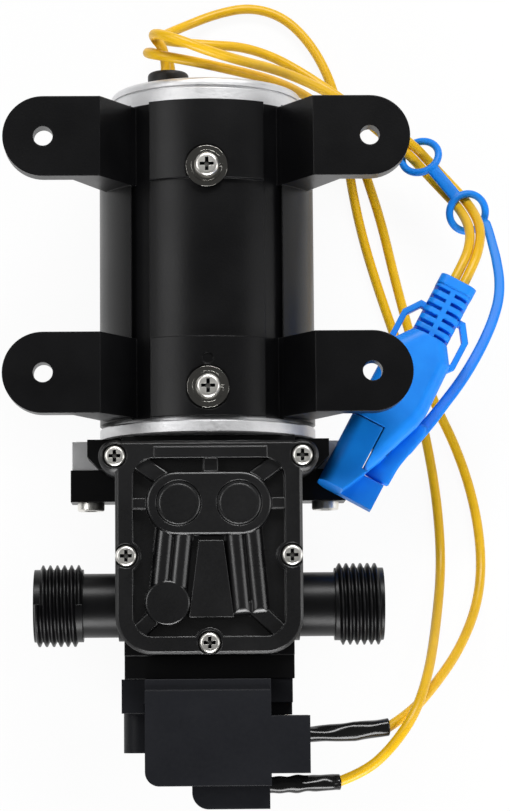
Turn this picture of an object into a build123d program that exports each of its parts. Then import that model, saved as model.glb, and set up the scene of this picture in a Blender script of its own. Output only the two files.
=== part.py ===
from build123d import *
import math
import os

# Caravan water pump, lying on its back with the mounting face up.
# Units are millimetres and degrees. +X is across the pump, +Y runs from the pressure switch
# to the motor's rear end and +Z is out of the mounting face. The origin is on the bench
# under the middle of the pump. The cords and what is on them lie outside that box.

# Small shared allowances
overrun = 1.0            # how far a cutting tool runs past the face it cuts
running_gap = 0.05       # radial clearance of a shaft or slide in its hole
fit_gap = 0.1            # clearance between two moulded parts that are assembled by hand
press_gap = 0.02         # clearance left between two parts that are pressed together

# Motor axis height: the bracket's sleeve lies on the bench
sleeve_r = 28.2
ear_face_above_axis = 33.0
axis_z = sleeve_r
ear_face_z = axis_z + ear_face_above_axis

# The mounting bracket's length follows its holes, and the motor can's follows the bracket
hole_span_y = 60.2
ear_w = 20.5
ear_end_margin = 0.3     # how far the sleeve runs past the ears at each end
bracket_gap = 0.9        # between the motor flange and the sleeve
bracket_past_can = 2.4   # how far the sleeve runs over the end cap
bracket_len = hole_span_y + ear_w + ear_end_margin * 2

# Lengths along the pump, counted from the port axis
port_to_flange = 42.8    # to the joint between the pump housing and the motor flange
flange_t = 3.4
can_len = bracket_gap + bracket_len - bracket_past_can
end_cap_len = 9.0
head_below_port = 18.9   # from the port axis to the seat of the pressure switch
switch_cover_len = 26.6
lower_box_depth = 5.9    # terminal box on the end of the switch cover
grommet_head_h = 3.2
motor_reach = port_to_flange + flange_t + can_len + end_cap_len + grommet_head_h
switch_reach = head_below_port + switch_cover_len + lower_box_depth
port_y = (switch_reach - motor_reach) / 2
flange_y = port_y + port_to_flange
can_y0 = flange_y + flange_t
can_y1 = can_y0 + can_len
end_face_y = can_y1 + end_cap_len
switch_seat_y = port_y - head_below_port

# Half widths of the pump housing and of the cover that sits on it
housing_half_w = 22.0
cover_overhang = 1.5
cover_half_w = housing_half_w + cover_overhang

# Mounting bracket: a sleeve round the motor with four ears
can_r = 25.0
sleeve_fit = 0.3
sleeve_bore_r = can_r + sleeve_fit
band_r = 28.5            # the two raised bands over the sleeve
recess_r = 27.2          # the glossy floor between the bands
pad_half_w = 14.7        # half width of the bands
band_len = 20.3
groove_floor_r = 26.4    # the grooves beside the bands
hole_span_x = 82.8
ear_t = 5.5
ear_hole_r = 2.5
ear_edge_r = 0.9
web_foot_x = 19.4        # where the sloped web meets the sleeve
web_top_x = 27.0         # where it meets the ear face
web_wall = 3.4
web_leg_x = 34.0         # outer end of the gussets under an ear
gusset_t = 2.4
gusset_foot_angle = 22.0
web_foot_sink = 0.4     # how far the webs sink into the sleeve
gussets_per_ear = 3
bracket_y0 = can_y0 + bracket_gap
bracket_y1 = bracket_y0 + bracket_len
bracket_mid_y = (bracket_y0 + bracket_y1) / 2
ear_rows = [bracket_mid_y - hole_span_y / 2, bracket_mid_y + hole_span_y / 2]
gate_mark_r = 1.4
gate_mark_depth = 0.3
gate_mark_from_end = 14.5

# Bracket screws and their washers
screw_inset = [7.2, 17.5]
bracket_screw_ys = [bracket_y0 + screw_inset[0], bracket_y1 - screw_inset[1]]
bracket_screw_r = 1.5
bracket_screw_hole_r = 1.7
bracket_screw_len = 7.4
bracket_head_r = 3.1
bracket_head_h = 2.1
flat_washer_r = 5.3
flat_washer_t = 0.8
spring_washer_r = 4.0
spring_washer_t = 0.9
spring_washer_slit = 0.5
spot_depth = 0.55
spot_margin = 0.4
recess_width = 0.9       # arm width of a cross recess
recess_depth_share = 0.6
recess_reach_share = 1.15
head_round_share = 0.45
socket_chamfer_share = 0.15
socket_share = 0.55
head_sink_share = 0.8

# Motor
can_wall = 1.8
can_bore_r = can_r - can_wall
magnet_bond = 0.15
magnet_r_in = 17.5
magnet_past_core = 5.0
magnet_arc = 128.0
core_air_gap = 0.6
core_r = magnet_r_in - core_air_gap
core_start = 22.0        # from the flange's motor face to the laminations
core_slots = 12
slot_w = 2.2
slot_depth = 6.5
winding_r = 14.6
winding_in_r = 4.0
winding_h = 7.0
winding_edge_r = 2.4
shaft_r = 2.5
commutator_r = 7.4
commutator_len = 11.0
commutator_bars = 12
commutator_slit = 0.5
commutator_gap = 1.5     # from the winding to the commutator
commutator_end_gap = 2.3 # from the commutator to the end of the can
core_end_room = winding_h + commutator_gap + commutator_len + commutator_end_gap
core_len = can_len - core_start - core_end_room
magnet_len = core_len + magnet_past_core * 2
bearing_r = 8.0
bearing_w = 5.0
bearing_land = 1.1       # ring width left and right of a bearing's shield
shield_depth = 0.4

# Motor rear end cap
end_cap_r = 25.1
end_cap_wall = 3.2
end_cap_bore_r = 21.4
end_spigot_r = 23.0
end_spigot_len = 4.0
end_groove_from_face = 2.2
end_groove_w = 0.6
end_groove_depth = 0.6
end_boss_r = 9.6
end_boss_h = 2.4
end_edge_r = 1.4
bearing_wall = 1.0       # metal left outside the rear bearing
tie_bolt_r = 1.5
tie_hole_r = 1.65
tie_bolt_at_r = 19.9
tie_head_r = 2.75
tie_head_h = 1.8
tie_head_gap = 0.15      # round a tie bolt's head, in its recess in the end cap
tie_head_sink = 1.7

# Cable grommet in the end cap
grommet_x = -9.8
grommet_above_axis = 14.3
grommet_z = axis_z + grommet_above_axis
grommet_head_r = 5.3
grommet_neck_r = 3.4
grommet_lip_r = 3.95
grommet_lip_t = 1.2
grommet_edge_r = 1.0

# Brush gear
brush_plate_t = 1.8
brush_plate_bore_r = 9.6
brush_x = 8.0            # radial length of a carbon brush
brush_y = 5.0
brush_z = 4.0
brush_box_wall = 0.9
brush_box_start = 9.2    # how far from the axis a brush box begins
brush_box_end = 20.4
brush_spring_r = 1.4
brush_spring_wire = 0.4
brush_spring_turns = 4

# Motor flange
flange_r = 28.2
flange_spigot_r = 14.8
flange_spigot_len = 2.3
flange_shaft_gap = 2.0
cam_bore_gap = 0.2
lug_half_z = 5.0
lug_gap = 0.4            # between a lug and the housing's side
bolt_from_housing = 8.6
lug_past_bolt = 4.7
lug_len = 7.5
lug_x_in = housing_half_w + lug_gap
flange_bolt_x = housing_half_w + bolt_from_housing
lug_x_out = flange_bolt_x + lug_past_bolt
can_spigot_len = 3.0
can_spigot_wall = 3.0
flange_edge_r = 0.4

# Flange bolts
flange_bolt_r = 2.0
flange_bolt_hole_r = 2.15
flange_bolt_head_r = 3.5
flange_bolt_head_h = 2.1
flange_bolt_grip = 5.4   # thread held in the aluminium lug

# Crank: eccentric journal, ball bearing and connecting rod
stroke = 2.4
crank_throw = stroke / 2
journal_r = 4.5
cam_bearing_r = 8.5
cam_bearing_w = 5.0
rod_ring_wall = 2.6
rod_ring_w = 4.2
chamber_from_port = 25.0 # from the port axis to the diaphragm axis
weight_r = 11.5
weight_t = 5.0
weight_angle = 150.0
weight_gap = 0.6
hub_r = 6.0
shaft_tip = 1.2          # how far the shaft stands out of the journal
cam_centre_z = axis_z + crank_throw
chamber_y = port_y + chamber_from_port

# Diaphragm and its clamp
diaphragm_above_axis = 12.6
diaphragm_t = 1.5
diaphragm_r = 15.0
diaphragm_bore_r = 9.4
diaphragm_bead_r = 11.4  # radius of the flexing bead
diaphragm_bead = 1.0
rod_plate_r = 7.8
rod_plate_t = 1.6
clamp_t = 1.5
clamp_edge_r = 0.5
clamp_screw_r = 1.5
clamp_screw_head_r = 2.8
clamp_screw_len = 4.0
clamp_screw_head_h = 1.0
diaphragm_z = axis_z + diaphragm_above_axis
rod_plate_top_z = diaphragm_z + crank_throw

# Pump housing
housing_top_above_axis = 20.3
housing_floor_r = 6.0    # radius of the housing's long lower edges
cam_end_from_port = 12.0 # from the port axis to the closed end of the crank case
cam_bore_r = flange_spigot_r + cam_bore_gap
cam_floor_t = 2.4        # end wall of the crank case
diaphragm_opening_r = 12.4
head_inset = 0.5         # how far the head's sides lie inside the crank case's
head_half_w = housing_half_w - head_inset
head_floor_z = 5.0
head_step_drop = 1.6     # how far the head's end lies below the valve plate's seat
housing_lug_past_bolt = 5.1
housing_lug_x_out = flange_bolt_x + housing_lug_past_bolt
housing_lug_y0 = 27.1
housing_lug_half_z = 5.3
shoulder_half_w = 31.0
shoulder_past_lug = 0.6
shoulder_corner = 3.2    # the shoulder's outer corner is cut off
shoulder_gap = 0.5
shoulder_top_z = 44.0
housing_top_z = axis_z + housing_top_above_axis
cam_end_y = port_y + cam_end_from_port

# Ports: G1/2 male threads on both sides
port_above_axis = 11.0
port_half_span = 44.6
port_bore_r = 6.2
neck_r = 8.2
thread_r = 10.45
thread_pitch = 1.814
thread_depth = 1.16
thread_turns = 6
thread_relief = 0.8      # plain end of the thread
thread_foot_share = 0.42
thread_tip_share = 0.1
port_bore_in = 7.0
port_collar_r = 9.2
port_collar_len = 1.6
riser_x = 10.5           # the passages that rise from the ports to the cover
riser_r = 3.4
sense_r = 1.6            # the passage to the pressure switch
port_z = axis_z + port_above_axis

# Cover outline, shared by the valve plate, the gasket and the cover
cover_top_from_port = 40.6
cover_bottom_from_port = -12.9
cover_corner_r = 9.5
cover_top_corner_r = 2.0
cover_ear_r = 4.1
cover_ear_out = 0.1
side_screw_in = 2.7
cover_screw_xs = [cover_half_w + cover_ear_out, cover_half_w - side_screw_in]
cover_screw_ys = [36.8, 11.7]
cover_low_screw_y = -10.05
cover_screw_places = [(-cover_screw_xs[0], cover_screw_ys[0]), (cover_screw_xs[0], cover_screw_ys[0]),
                      (-cover_screw_xs[1], cover_screw_ys[1]), (cover_screw_xs[1], cover_screw_ys[1]),
                      (0, cover_low_screw_y)]
cover_y0 = port_y + cover_bottom_from_port
cover_y1 = port_y + cover_top_from_port

# Valve plate with its two rubber valves
plate_flange_t = 2.0
plate_plug_r = 15.2
pressure_recess_r = 12.4
pressure_recess_t = 2.7
valve_x = 7.2
valve_pocket_r = 5.1
valve_web_t = 1.1
valve_disc_r = 4.4
valve_disc_t = 1.0
valve_stem_r = 1.2
valve_bulb_r = 1.9
valve_bulb_t = 1.05
valve_lift = 0.8
valve_rest_gap = 0.1
valve_ports = 6
valve_port_r = 0.9
valve_port_at_r = 2.75
plate_flange_top_z = housing_top_z + plate_flange_t
plug_bottom_z = diaphragm_z + diaphragm_t
pressure_roof_z = plug_bottom_z + pressure_recess_t
web_mid_z = (pressure_roof_z + plate_flange_top_z) / 2
web_low_z = web_mid_z - valve_web_t / 2
web_high_z = web_mid_z + valve_web_t / 2

# Gasket and pump cover
gasket_t = 0.7
gasket_hole_r = 2.2
cover_h = 7.0
cover_base_t = 3.0
rim_w = 4.4
rim_corner_r = 5.0
rim_edge_r = 0.7
dome_half_w = 15.8
dome_h = 15.9
dome_from_port = 24.9
dish_r = 5.7
dish_x = 7.6
dish_depth = 1.0
dome_edge_r = 0.8
channel_ridge_w = 5.0    # each channel shows as two round ridges side by side
channel_ridge_pitch = 4.5
channel_edge_r = 2.3
channel_past_port = 3.2  # how far the inlet's ridges run past the port's axis
channel_drop = 0.5       # how far the channels lie below the rim
channel_dx = 2.2         # how far the channels lean outwards on their way down
riser_boss_r = 5.7
wedge_half_w = [3.1, 5.6]
wedge_y = [15.6, -3.7]
wedge_drop = 1.3
wedge_shift = 0.5
rib_w = 2.6
corner_rib_w = 4.3
rib_drop = 1.2
rib_reach = 9.0
top_rib_fall = 6.0
centre_rib_w = 3.5
tray_boss_r = 3.8        # the walls round the side and bottom screws in the tray
rim_bar_half_w = 14.2
rim_bar_w = 2.8
rim_bar_h = 0.4
inner_channel_w = 5.0
inner_channel_h = 3.4
cover_z0 = plate_flange_top_z + gasket_t
cover_top_z = cover_z0 + cover_h
dome_y = port_y + dome_from_port

# Cover screws
cover_screw_r = 1.5
cover_screw_hole_r = 1.7
cover_head_r = 2.65
cover_head_h = 1.9
cover_screw_grip = 12.0
screw_boss_r = 4.0
screw_boss_len = 14.0

# Pressure switch body, diaphragm, piston, spring and adjusting screw
switch_left_x = -22.3
switch_right_x = 21.0
switch_plate_t = 6.1
switch_z0 = 6.0
switch_z1 = 46.4
switch_column_in_left = -16.6
switch_column_in_right = 15.4
left_column_len = 8.6
right_column_len = 9.2
right_column_top_z = 41.0
tower_x = -9.2
tower_z = 20.0
tower_half = 13.0
tower_len = 12.7
tower_corner_r = 4.0
piston_bore_r = 6.5
piston_t = 1.8
piston_stem_r = 2.2
piston_stem_len = 8.0
piston_travel = 0.8
finger_w = 3.0
finger_pad_h = 5.0
switch_diaphragm_r = 9.5
switch_diaphragm_t = 1.2
switch_diaphragm_gap = 0.3
spring_r = 4.6
spring_wire = 1.0
spring_turns = 5
adjuster_t = 4.2
adjuster_out = 0.5
adjuster_hex = 4.0
adjuster_hex_depth = 2.6
adjuster_boss_r = 2.4
adjuster_boss_t = 1.2
switch_screw_r = 1.5
switch_screw_hole_r = 1.7
switch_head_r = 2.65
switch_head_h = 1.9
switch_head_sink = 2.2
switch_screw_grip = 7.0
column_screw_zs = [12.0, 31.0]
column_screw_x = 18.2
tower_screw_inset = 3.2

# Microswitch and its terminals
micro_x0 = -14.3
micro_len = 27.8
micro_h = 15.9
micro_t = 10.3
micro_z0 = 39.0
micro_gap = 1.9          # from the switch body's plate to the microswitch
micro_edge_r = 0.6
micro_hole_r = 1.55
micro_post_r = 2.4
micro_hole_x = [2.8, 25.0]
micro_hole_y = [3.0, 13.3]
button_w = 2.4
button_out = 1.3
button_in = 1.2
blade_w = 6.3
blade_t = 0.8
side_blade_len = 8.4
side_blade_from_seat = 14.4
end_blade_x = [3.0, 14.4]
end_blade_reach = 5.0
lower_tail_reach = 3.0
tail_r = 1.25
tail_bare = 1.6
tail_short = 1.0         # the crimped tail ends this far inside its sleeve
wire_z = 44.9            # height of both terminals and of the sleeves on them
upper_run = [22.8, 1.4, -3.5]    # from a terminal's end to the end of its sleeve
lower_run = [18.6, 0.5, -3.1]

# Switch cover
case_x0 = -16.3
case_x1 = 15.2
case_top_z = 57.3
case_z0 = 33.5
case_wall = 1.5
case_lip_len = 2.8       # the lower lip against the pump head
case_lip_drop = 0.8
case_corner_r = 3.6
case_notch_gap = 0.4
side_box_x1 = 24.9
side_box_y0 = 9.3        # from the switch seat
side_box_y1 = 23.6
lower_box_x0 = -4.6
lower_box_x1 = 14.9
lower_box_top_z = 52.5
box_z0 = 37.0
lower_box_corner_r = 4.2
case_edge_r = 0.5
sleeve_hole_gap = 0.25

# Cords and the shrink sleeves on their ends
wire_d = 2.6
wire_r = wire_d / 2
shrink_r = 1.95
shrink_start_gap = 0.3
bend_share = 0.45
limp_factor = 3

# Fuse holder, in its own frame: x across, y back towards the wires, z up. It leans on the
# housing's right lug, so its cap is the higher end.
holder_x = 65.8
holder_y = 40.32
holder_mid_z = 33.0      # at the end where the wires go in
holder_turn = -28.48
holder_tilt = 6.0
holder_t = 10.4
holder_edge_r = 3.4
collar_w = 10.2
collar_t = 8.6
collar_len = 2.6
relief_w = 10.0
relief_t = 7.8
relief_len = 17.0
relief_corner_r = 2.2
relief_slots = 6
relief_pitch = 2.44
relief_first = 3.7
relief_slot_w = 1.0
relief_slot_depth = 2.0
relief_notch = 0.8       # how far the ribs stand out at the sides
relief_bridge_w = 1.5
loop_bar = 1.6
loop_z = 2.4
loop_foot = 0.5          # how far a loop's feet reach into the body and the ribs
loop_v = [9.4, 13.4, 20.6, 23.4]
loop_out = 8.85
duct_r = 1.35
duct_u = 1.4
wire_gap = 0.3
holder_neck_half = 5.2
holder_wide_left = 8.5
holder_wide_right = 8.2
shoulder_end = 21.5
hump_points = [(8.6, 35.5), (8.0, 39.2), (6.1, 44.5), (3.9, 51.4), (1.8, 56.3)]
holder_len = 63.9
holder_end_u = -1.6
cap_draw_in = 0.2
seam_u = 0.55
seam_v = [44.4, 56.3]
seam_gap = 0.3
skirt_u = 7.4
skirt_t = 3.6
cavity_half_w = 5.0
cavity_t = 4.4
cavity_v = [36.0, 50.4]
fuse_half_w = 4.7
fuse_t = 3.6
fuse_head_v = [44.8, 50.2]
fuse_blade_w = 2.6
fuse_blade_t = 0.8
fuse_blade_len = 7.0
fuse_blade_u = 3.2
contact_w = 3.1
contact_t = 2.6
contact_len = 8.2
contact_slit_gap = 0.12
holder_z0 = holder_mid_z - holder_t / 2
holder_z1 = holder_mid_z + holder_t / 2

# Cap strap: a ribbon from a flare beside the cap to two rings that hold both wires. The
# ribbon lies in a plane that falls away from the cap.
flare_gap = 0.3
flare_t = 2.3
flare_out = [(8.5, 55.5), (8.4, 50.0), (10.3, 42.4), (11.1, 37.9), (9.4, 36.6)]
strap_w = 2.3
strap_t = 1.3
strap_bend_r = 14.0
strap_z = 32.75          # middle of the ribbon at y 0
strap_fall = 14.5
strap_route = [(56.4, 1.4), (60.7, 6.3), (66.9, 12.9), (72.2, 21.4), (76.2, 31.0), (78.1, 41.2), (77.9, 49.0),
               (76.3, 56.4), (74.8, 60.9)]
ring_r = 5.05
ring_bar_r = 1.0
far_ring_x = 57.98
far_ring_y = 77.95
far_ring_z = 15.7
near_ring_x = 70.37
near_ring_y = 62.4
near_ring_z = 17.0
ring_places = [(far_ring_x, far_ring_y), (near_ring_x, near_ring_y)]
ring_zs = [far_ring_z, near_ring_z]
ring_tilts = [30.0, 20.0]
link_w = 3.2
link_t = 1.4

# Routes of the three cords, chosen by hand from the photograph
holder_wire_route = [(-10.4, 94.85, 44.0), (-10.4, 100.6, 44.0), (-14.0, 103.6, 48.4),
                     (-12.4, 102.6, 54.4), (-6.6, 100.0, 57.6), (0.4, 97.6, 56.0), (9.0, 96.5, 49.5),
                     (18.49, 96.71, 38.86), (27.32, 95.22, 30.22), (34.73, 92.8, 23.77),
                     (41.68, 89.68, 19.17), (48.73, 86.11, 16.6), (55.81, 81.39, 16.5),
                     (61.13, 76.38, 13.6), (66.24, 70.87, 13.5), (70.97, 64.61, 16.66),
                     (73.28, 57.1, 24.09), (71.97, 50.07, 29.1), (69.44, 44.18, 32.05),
                     (66.95, 39.61, 33.0)]
motor_wire_route = [(-9.2, 94.85, 41.2), (-9.2, 99.3, 41.2), (-14.2, 100.6, 42.4), (-15.6, 98.8, 48.6),
                    (-9.8, 96.8, 52.8), (-2.0, 95.6, 51.6), (7.0, 95.0, 45.4), (16.0, 95.2, 35.4),
                    (24.4, 94.6, 24.0), (31.6, 92.2, 13.8), (37.4, 87.9, 7.0), (42.0, 81.8, 2.8),
                    (44.8, 73.6, 1.5), (48.2, 62.4, 1.6), (51.6, 47.0, 1.5), (56.0, 29.6, 1.6),
                    (61.4, 13.8, 1.5), (68.2, -0.6, 1.6), (72.6, -15.4, 1.5), (74.2, -30.0, 2.4),
                    (72.2, -42.6, 8.6), (66.2, -54.8, 19.0), (58.2, -64.6, 30.0), (51.2, -71.6, 37.8)]
switch_wire_route = [(39.0, -86.3, 42.8), (46.0, -80.2, 43.8), (52.4, -71.4, 42.4), (56.9, -60.5, 32.4),
                     (60.5, -46.6, 15.8), (63.0, -32.2, 3.6), (62.6, -17.4, 1.5), (60.6, -2.4, 1.6),
                     (57.4, 13.0, 1.5), (52.2, 28.6, 1.6), (47.2, 43.6, 1.5), (43.2, 57.2, 1.6),
                     (40.4, 70.6, 1.5), (38.8, 82.6, 1.6), (36.8, 94.4, 1.5), (33.8, 104.4, 1.6),
                     (28.8, 113.4, 1.5), (21.8, 120.4, 1.6), (12.8, 123.2, 1.5), (3.4, 121.4, 1.6),
                     (-6.2, 117.0, 3.8), (-13.4, 111.8, 11.8), (-9.4, 108.6, 21.0), (0.6, 107.8, 20.8),
                     (9.98, 108.18, 17.1), (18.49, 106.1, 14.09), (25.92, 102.18, 13.04),
                     (32.53, 97.42, 14.25), (38.35, 92.87, 15.81), (43.42, 88.38, 14.39),
                     (48.54, 83.85, 14.0), (53.94, 79.37, 16.7), (59.26, 74.31, 13.6),
                     (64.08, 69.0, 13.5), (68.5, 63.03, 17.77), (70.31, 56.2, 25.34),
                     (69.29, 50.27, 29.68), (67.01, 45.33, 32.1), (64.58, 40.9, 33.0)]

PARTS = "parts"


def block(x0, x1, y0, y1, z0, z1):
    """A box given by its two corners."""
    box = Box(abs(x1 - x0), abs(y1 - y0), abs(z1 - z0))
    return Pos((x0 + x1) / 2, (y0 + y1) / 2, (z0 + z1) / 2) * box


def rod_x(r, x0, x1, y, z):
    return Pos((x0 + x1) / 2, y, z) * Rot(0, 90, 0) * Cylinder(r, abs(x1 - x0))


def rod_y(r, y0, y1, x=0, z=axis_z):
    return Pos(x, (y0 + y1) / 2, z) * Rot(90, 0, 0) * Cylinder(r, abs(y1 - y0))


def rod_z(r, z0, z1, x, y):
    return Pos(x, y, (z0 + z1) / 2) * Cylinder(r, abs(z1 - z0))


def tube_y(r, bore, y0, y1, x=0, z=axis_z):
    return rod_y(r, y0, y1, x, z) - rod_y(bore, y0 - overrun, y1 + overrun, x, z)


def prism_y(points, y0, y1):
    """A straight prism along Y over a polygon of x and z."""
    face = make_face(Polyline(*points, close=True))
    return Pos(0, y1, 0) * Rot(90, 0, 0) * extrude(face, y1 - y0)


def prism_z(points, z0, z1):
    """A straight prism along Z over a polygon of x and y."""
    return Pos(0, 0, z0) * extrude(make_face(Polyline(*points, close=True)), z1 - z0)


def sector_y(half_angle, middle, reach, y0, y1):
    """A wedge round the motor axis, to keep one sector of a ring."""
    low = math.radians(middle - half_angle)
    high = math.radians(middle + half_angle)
    corners = [(0, axis_z)]
    for angle in (low, math.radians(middle), high):
        corners.append((reach * math.cos(angle), axis_z + reach * math.sin(angle)))
    return prism_y(corners, y0, y1)


def around(count, make):
    """Copies of a shape turned round the motor axis."""
    shapes = []
    for index in range(count):
        turn = Pos(0, 0, axis_z) * Rot(0, index * 360 / count, 0) * Pos(0, 0, -axis_z)
        shapes.append(turn * make)
    return shapes


def both_sides(make):
    """The same shape on the left and on the right."""
    return make(-1) + make(1)


def edges_at(shape, axis, value, tolerance=0.01):
    """The edges of a shape that lie in one plane across an axis."""
    return shape.edges().filter_by_position(axis, value - tolerance, value + tolerance)


def pan_screw(shank_r, length, head_r, head_h):
    """A cross-recess pan head screw: its seat is at z 0 and the shank points down."""
    head = Pos(0, 0, head_h / 2) * Cylinder(head_r, head_h)
    head = fillet(edges_at(head, Axis.Z, head_h), head_h * head_round_share)
    depth = head_h * recess_depth_share
    cross = Box(head_r * recess_reach_share, recess_width, depth * 2)
    cross = cross + Box(recess_width, head_r * recess_reach_share, depth * 2)
    shank = Pos(0, 0, -length / 2) * Cylinder(shank_r, length)
    return head + shank - Pos(0, 0, head_h) * cross


def socket_screw(shank_r, length, head_r, head_h):
    """A hexagon socket screw with the same frame as a pan head screw."""
    head = Pos(0, 0, head_h / 2) * Cylinder(head_r, head_h)
    head = chamfer(edges_at(head, Axis.Z, head_h), head_h * socket_chamfer_share)
    hexagon = extrude(RegularPolygon(head_r * socket_share, 6), head_h)
    shank = Pos(0, 0, -length / 2) * Cylinder(shank_r, length)
    return head + shank - Pos(0, 0, head_h * (1 - recess_depth_share)) * hexagon


def coil(mean_r, wire, length, turns):
    """A round-wire compression spring standing on z 0."""
    pitch = (length - wire) / turns
    path = Helix(pitch=pitch, height=pitch * turns, radius=mean_r)
    section = Plane(origin=path @ 0, z_dir=path % 0) * Circle(wire / 2)
    return Pos(0, 0, wire / 2) * sweep(section, path=path, is_frenet=True)


def bearing(r, bore, y0, width, z=axis_z):
    """A shielded ball bearing with its axis along Y."""
    ring = tube_y(r, bore, y0, y0 + width, 0, z)
    inner = bore + bearing_land
    outer = r - bearing_land
    front = tube_y(outer, inner, y0 - overrun, y0 + shield_depth, 0, z)
    back = tube_y(outer, inner, y0 + width - shield_depth, y0 + width + overrun, 0, z)
    return ring - front - back


nodes = {}


def node(name, *shapes):
    """Write one node's STEP file: one solid, or a group of identical pieces."""
    solids = [solid for shape in shapes for solid in shape.solids()]
    if len(solids) != len(shapes):
        print("pieces", len(shapes), "solids", len(solids))
    nodes[name] = solids
    whole = solids[0] if len(solids) == 1 else Compound(children=solids)
    export_step(whole, os.path.join(PARTS, name + ".step"))
    box = whole.bounding_box()
    low = [round(v, 2) for v in (box.min.X, box.min.Y, box.min.Z)]
    high = [round(v, 2) for v in (box.max.X, box.max.Y, box.max.Z)]
    print(name, low, high, len(solids), round(sum(solid.volume for solid in solids), 1))


os.makedirs(PARTS, exist_ok=True)

# Mounting bracket
sleeve_bore = rod_y(sleeve_bore_r, bracket_y0 - overrun, bracket_y1 + overrun)
bracket = rod_y(sleeve_r, bracket_y0, bracket_y1)
upper_half = block(-pad_half_w, pad_half_w, bracket_y0, bracket_y1, axis_z, ear_face_z)
for y0 in (bracket_y0, bracket_y1 - band_len):
    bracket = bracket + (rod_y(band_r, y0, y0 + band_len) & upper_half)
recess_y0 = bracket_y0 + band_len
recess_y1 = bracket_y1 - band_len
recess_ring = tube_y(ear_face_z, recess_r, recess_y0, recess_y1)
bracket = bracket - (recess_ring & block(-pad_half_w, pad_half_w, recess_y0, recess_y1, axis_z, ear_face_z))
groove_ring = tube_y(ear_face_z, groove_floor_r, bracket_y0 - overrun, bracket_y1 + overrun)
foot_height = math.sqrt(sleeve_r ** 2 - web_foot_x ** 2)
web_foot_z = axis_z + foot_height
slope = math.atan2(ear_face_z - web_foot_z, web_top_x - web_foot_x)
wall_dx = web_wall * math.sin(slope)
wall_dz = web_wall * math.cos(slope)
ear_under_z = ear_face_z - ear_t
back_x = web_foot_x + wall_dx
back_z = web_foot_z - wall_dz
under_x = back_x + (ear_under_z - back_z) / math.tan(slope)
deep_share = (groove_floor_r - web_foot_sink) / sleeve_r
gusset_foot_x = math.cos(math.radians(gusset_foot_angle))
gusset_foot_z = math.sin(math.radians(gusset_foot_angle))
for side in (-1, 1):
    bracket = bracket - (groove_ring & block(side * pad_half_w, side * web_foot_x, bracket_y0 - overrun,
                                             bracket_y1 + overrun, axis_z, ear_face_z))
for side in (-1, 1):
    for row in ear_rows:
        wall = [(side * web_foot_x, web_foot_z), (side * web_top_x, ear_face_z), (side * hole_span_x / 2, ear_face_z),
                (side * hole_span_x / 2, ear_under_z), (side * under_x, ear_under_z), (side * back_x, back_z),
                (side * back_x * deep_share, axis_z + (back_z - axis_z) * deep_share),
                (side * web_foot_x * deep_share, axis_z + foot_height * deep_share)]
        bracket = bracket + prism_y(wall, row - ear_w / 2, row + ear_w / 2)
        bracket = bracket + rod_z(ear_w / 2, ear_under_z, ear_face_z, side * hole_span_x / 2, row)
        gusset = [(side * (under_x - web_foot_sink), ear_under_z + web_foot_sink),
                  (side * web_leg_x, ear_under_z + web_foot_sink), (side * web_leg_x, ear_under_z),
                  (side * sleeve_r * gusset_foot_x, axis_z + sleeve_r * gusset_foot_z),
                  (side * groove_floor_r * gusset_foot_x, axis_z + groove_floor_r * gusset_foot_z),
                  (side * back_x * deep_share, axis_z + (back_z - axis_z) * deep_share)]
        gusset_step = (ear_w - gusset_t) / (gussets_per_ear - 1)
        for index in range(gussets_per_ear):
            y0 = row - ear_w / 2 + index * gusset_step
            bracket = bracket + prism_y(gusset, y0, y0 + gusset_t)
        hole_top = ear_face_z + overrun
        bracket = bracket - rod_z(ear_hole_r, ear_under_z - overrun, hole_top, side * hole_span_x / 2, row)
bracket = bracket - sleeve_bore
spot_z = axis_z + band_r - spot_depth
for y in bracket_screw_ys:
    bracket = bracket - rod_z(flat_washer_r + spot_margin, spot_z, ear_face_z, 0, y)
    bracket = bracket - rod_z(bracket_screw_hole_r, axis_z, ear_face_z, 0, y)
mark_y = bracket_y0 + gate_mark_from_end
mark_z = axis_z + band_r - gate_mark_depth
bracket = bracket - rod_z(gate_mark_r, mark_z, ear_face_z, 0, mark_y)
node("mounting_bracket", bracket)

# Bracket screws with a flat and a spring washer each
spring_washer_z = spot_z + flat_washer_t
bracket_head_z = spring_washer_z + spring_washer_t
screws = []
flat_washers = []
spring_washers = []
for y in bracket_screw_ys:
    screw = pan_screw(bracket_screw_r, bracket_screw_len, bracket_head_r, bracket_head_h)
    screws.append(Pos(0, y, bracket_head_z) * screw)
    washer = rod_z(flat_washer_r, spot_z, spring_washer_z, 0, y)
    flat_washers.append(washer - rod_z(bracket_screw_hole_r, spot_z - overrun, ear_face_z, 0, y))
    spring = rod_z(spring_washer_r, spring_washer_z, bracket_head_z, 0, y)
    spring = spring - rod_z(bracket_screw_hole_r, spot_z, ear_face_z, 0, y)
    slit = block(0, spring_washer_r + overrun, -spring_washer_slit / 2, spring_washer_slit / 2, 0, ear_face_z)
    spring_washers.append(spring - Pos(0, y, 0) * slit)
node("bracket_screws", *screws)
node("bracket_flat_washers", *flat_washers)
node("bracket_spring_washers", *spring_washers)

# Motor can with its two magnets
can = tube_y(can_r, can_bore_r, can_y0, can_y1)
for y in bracket_screw_ys:
    can = can - rod_z(bracket_screw_r + press_gap, axis_z, ear_face_z, 0, y)
node("motor_can", can)
core_y0 = can_y0 + core_start
core_y1 = core_y0 + core_len
magnet_mid_y = (core_y0 + core_y1) / 2
magnet_y0 = magnet_mid_y - magnet_len / 2
magnet_y1 = magnet_mid_y + magnet_len / 2
magnet_ring = tube_y(can_bore_r - magnet_bond, magnet_r_in, magnet_y0, magnet_y1)
magnet_reach = can_bore_r / math.cos(math.radians(magnet_arc / 4))
magnets = [magnet_ring & sector_y(magnet_arc / 2, middle, magnet_reach, magnet_y0, magnet_y1)
           for middle in (0, 180)]
node("motor_magnets", *magnets)

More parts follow.
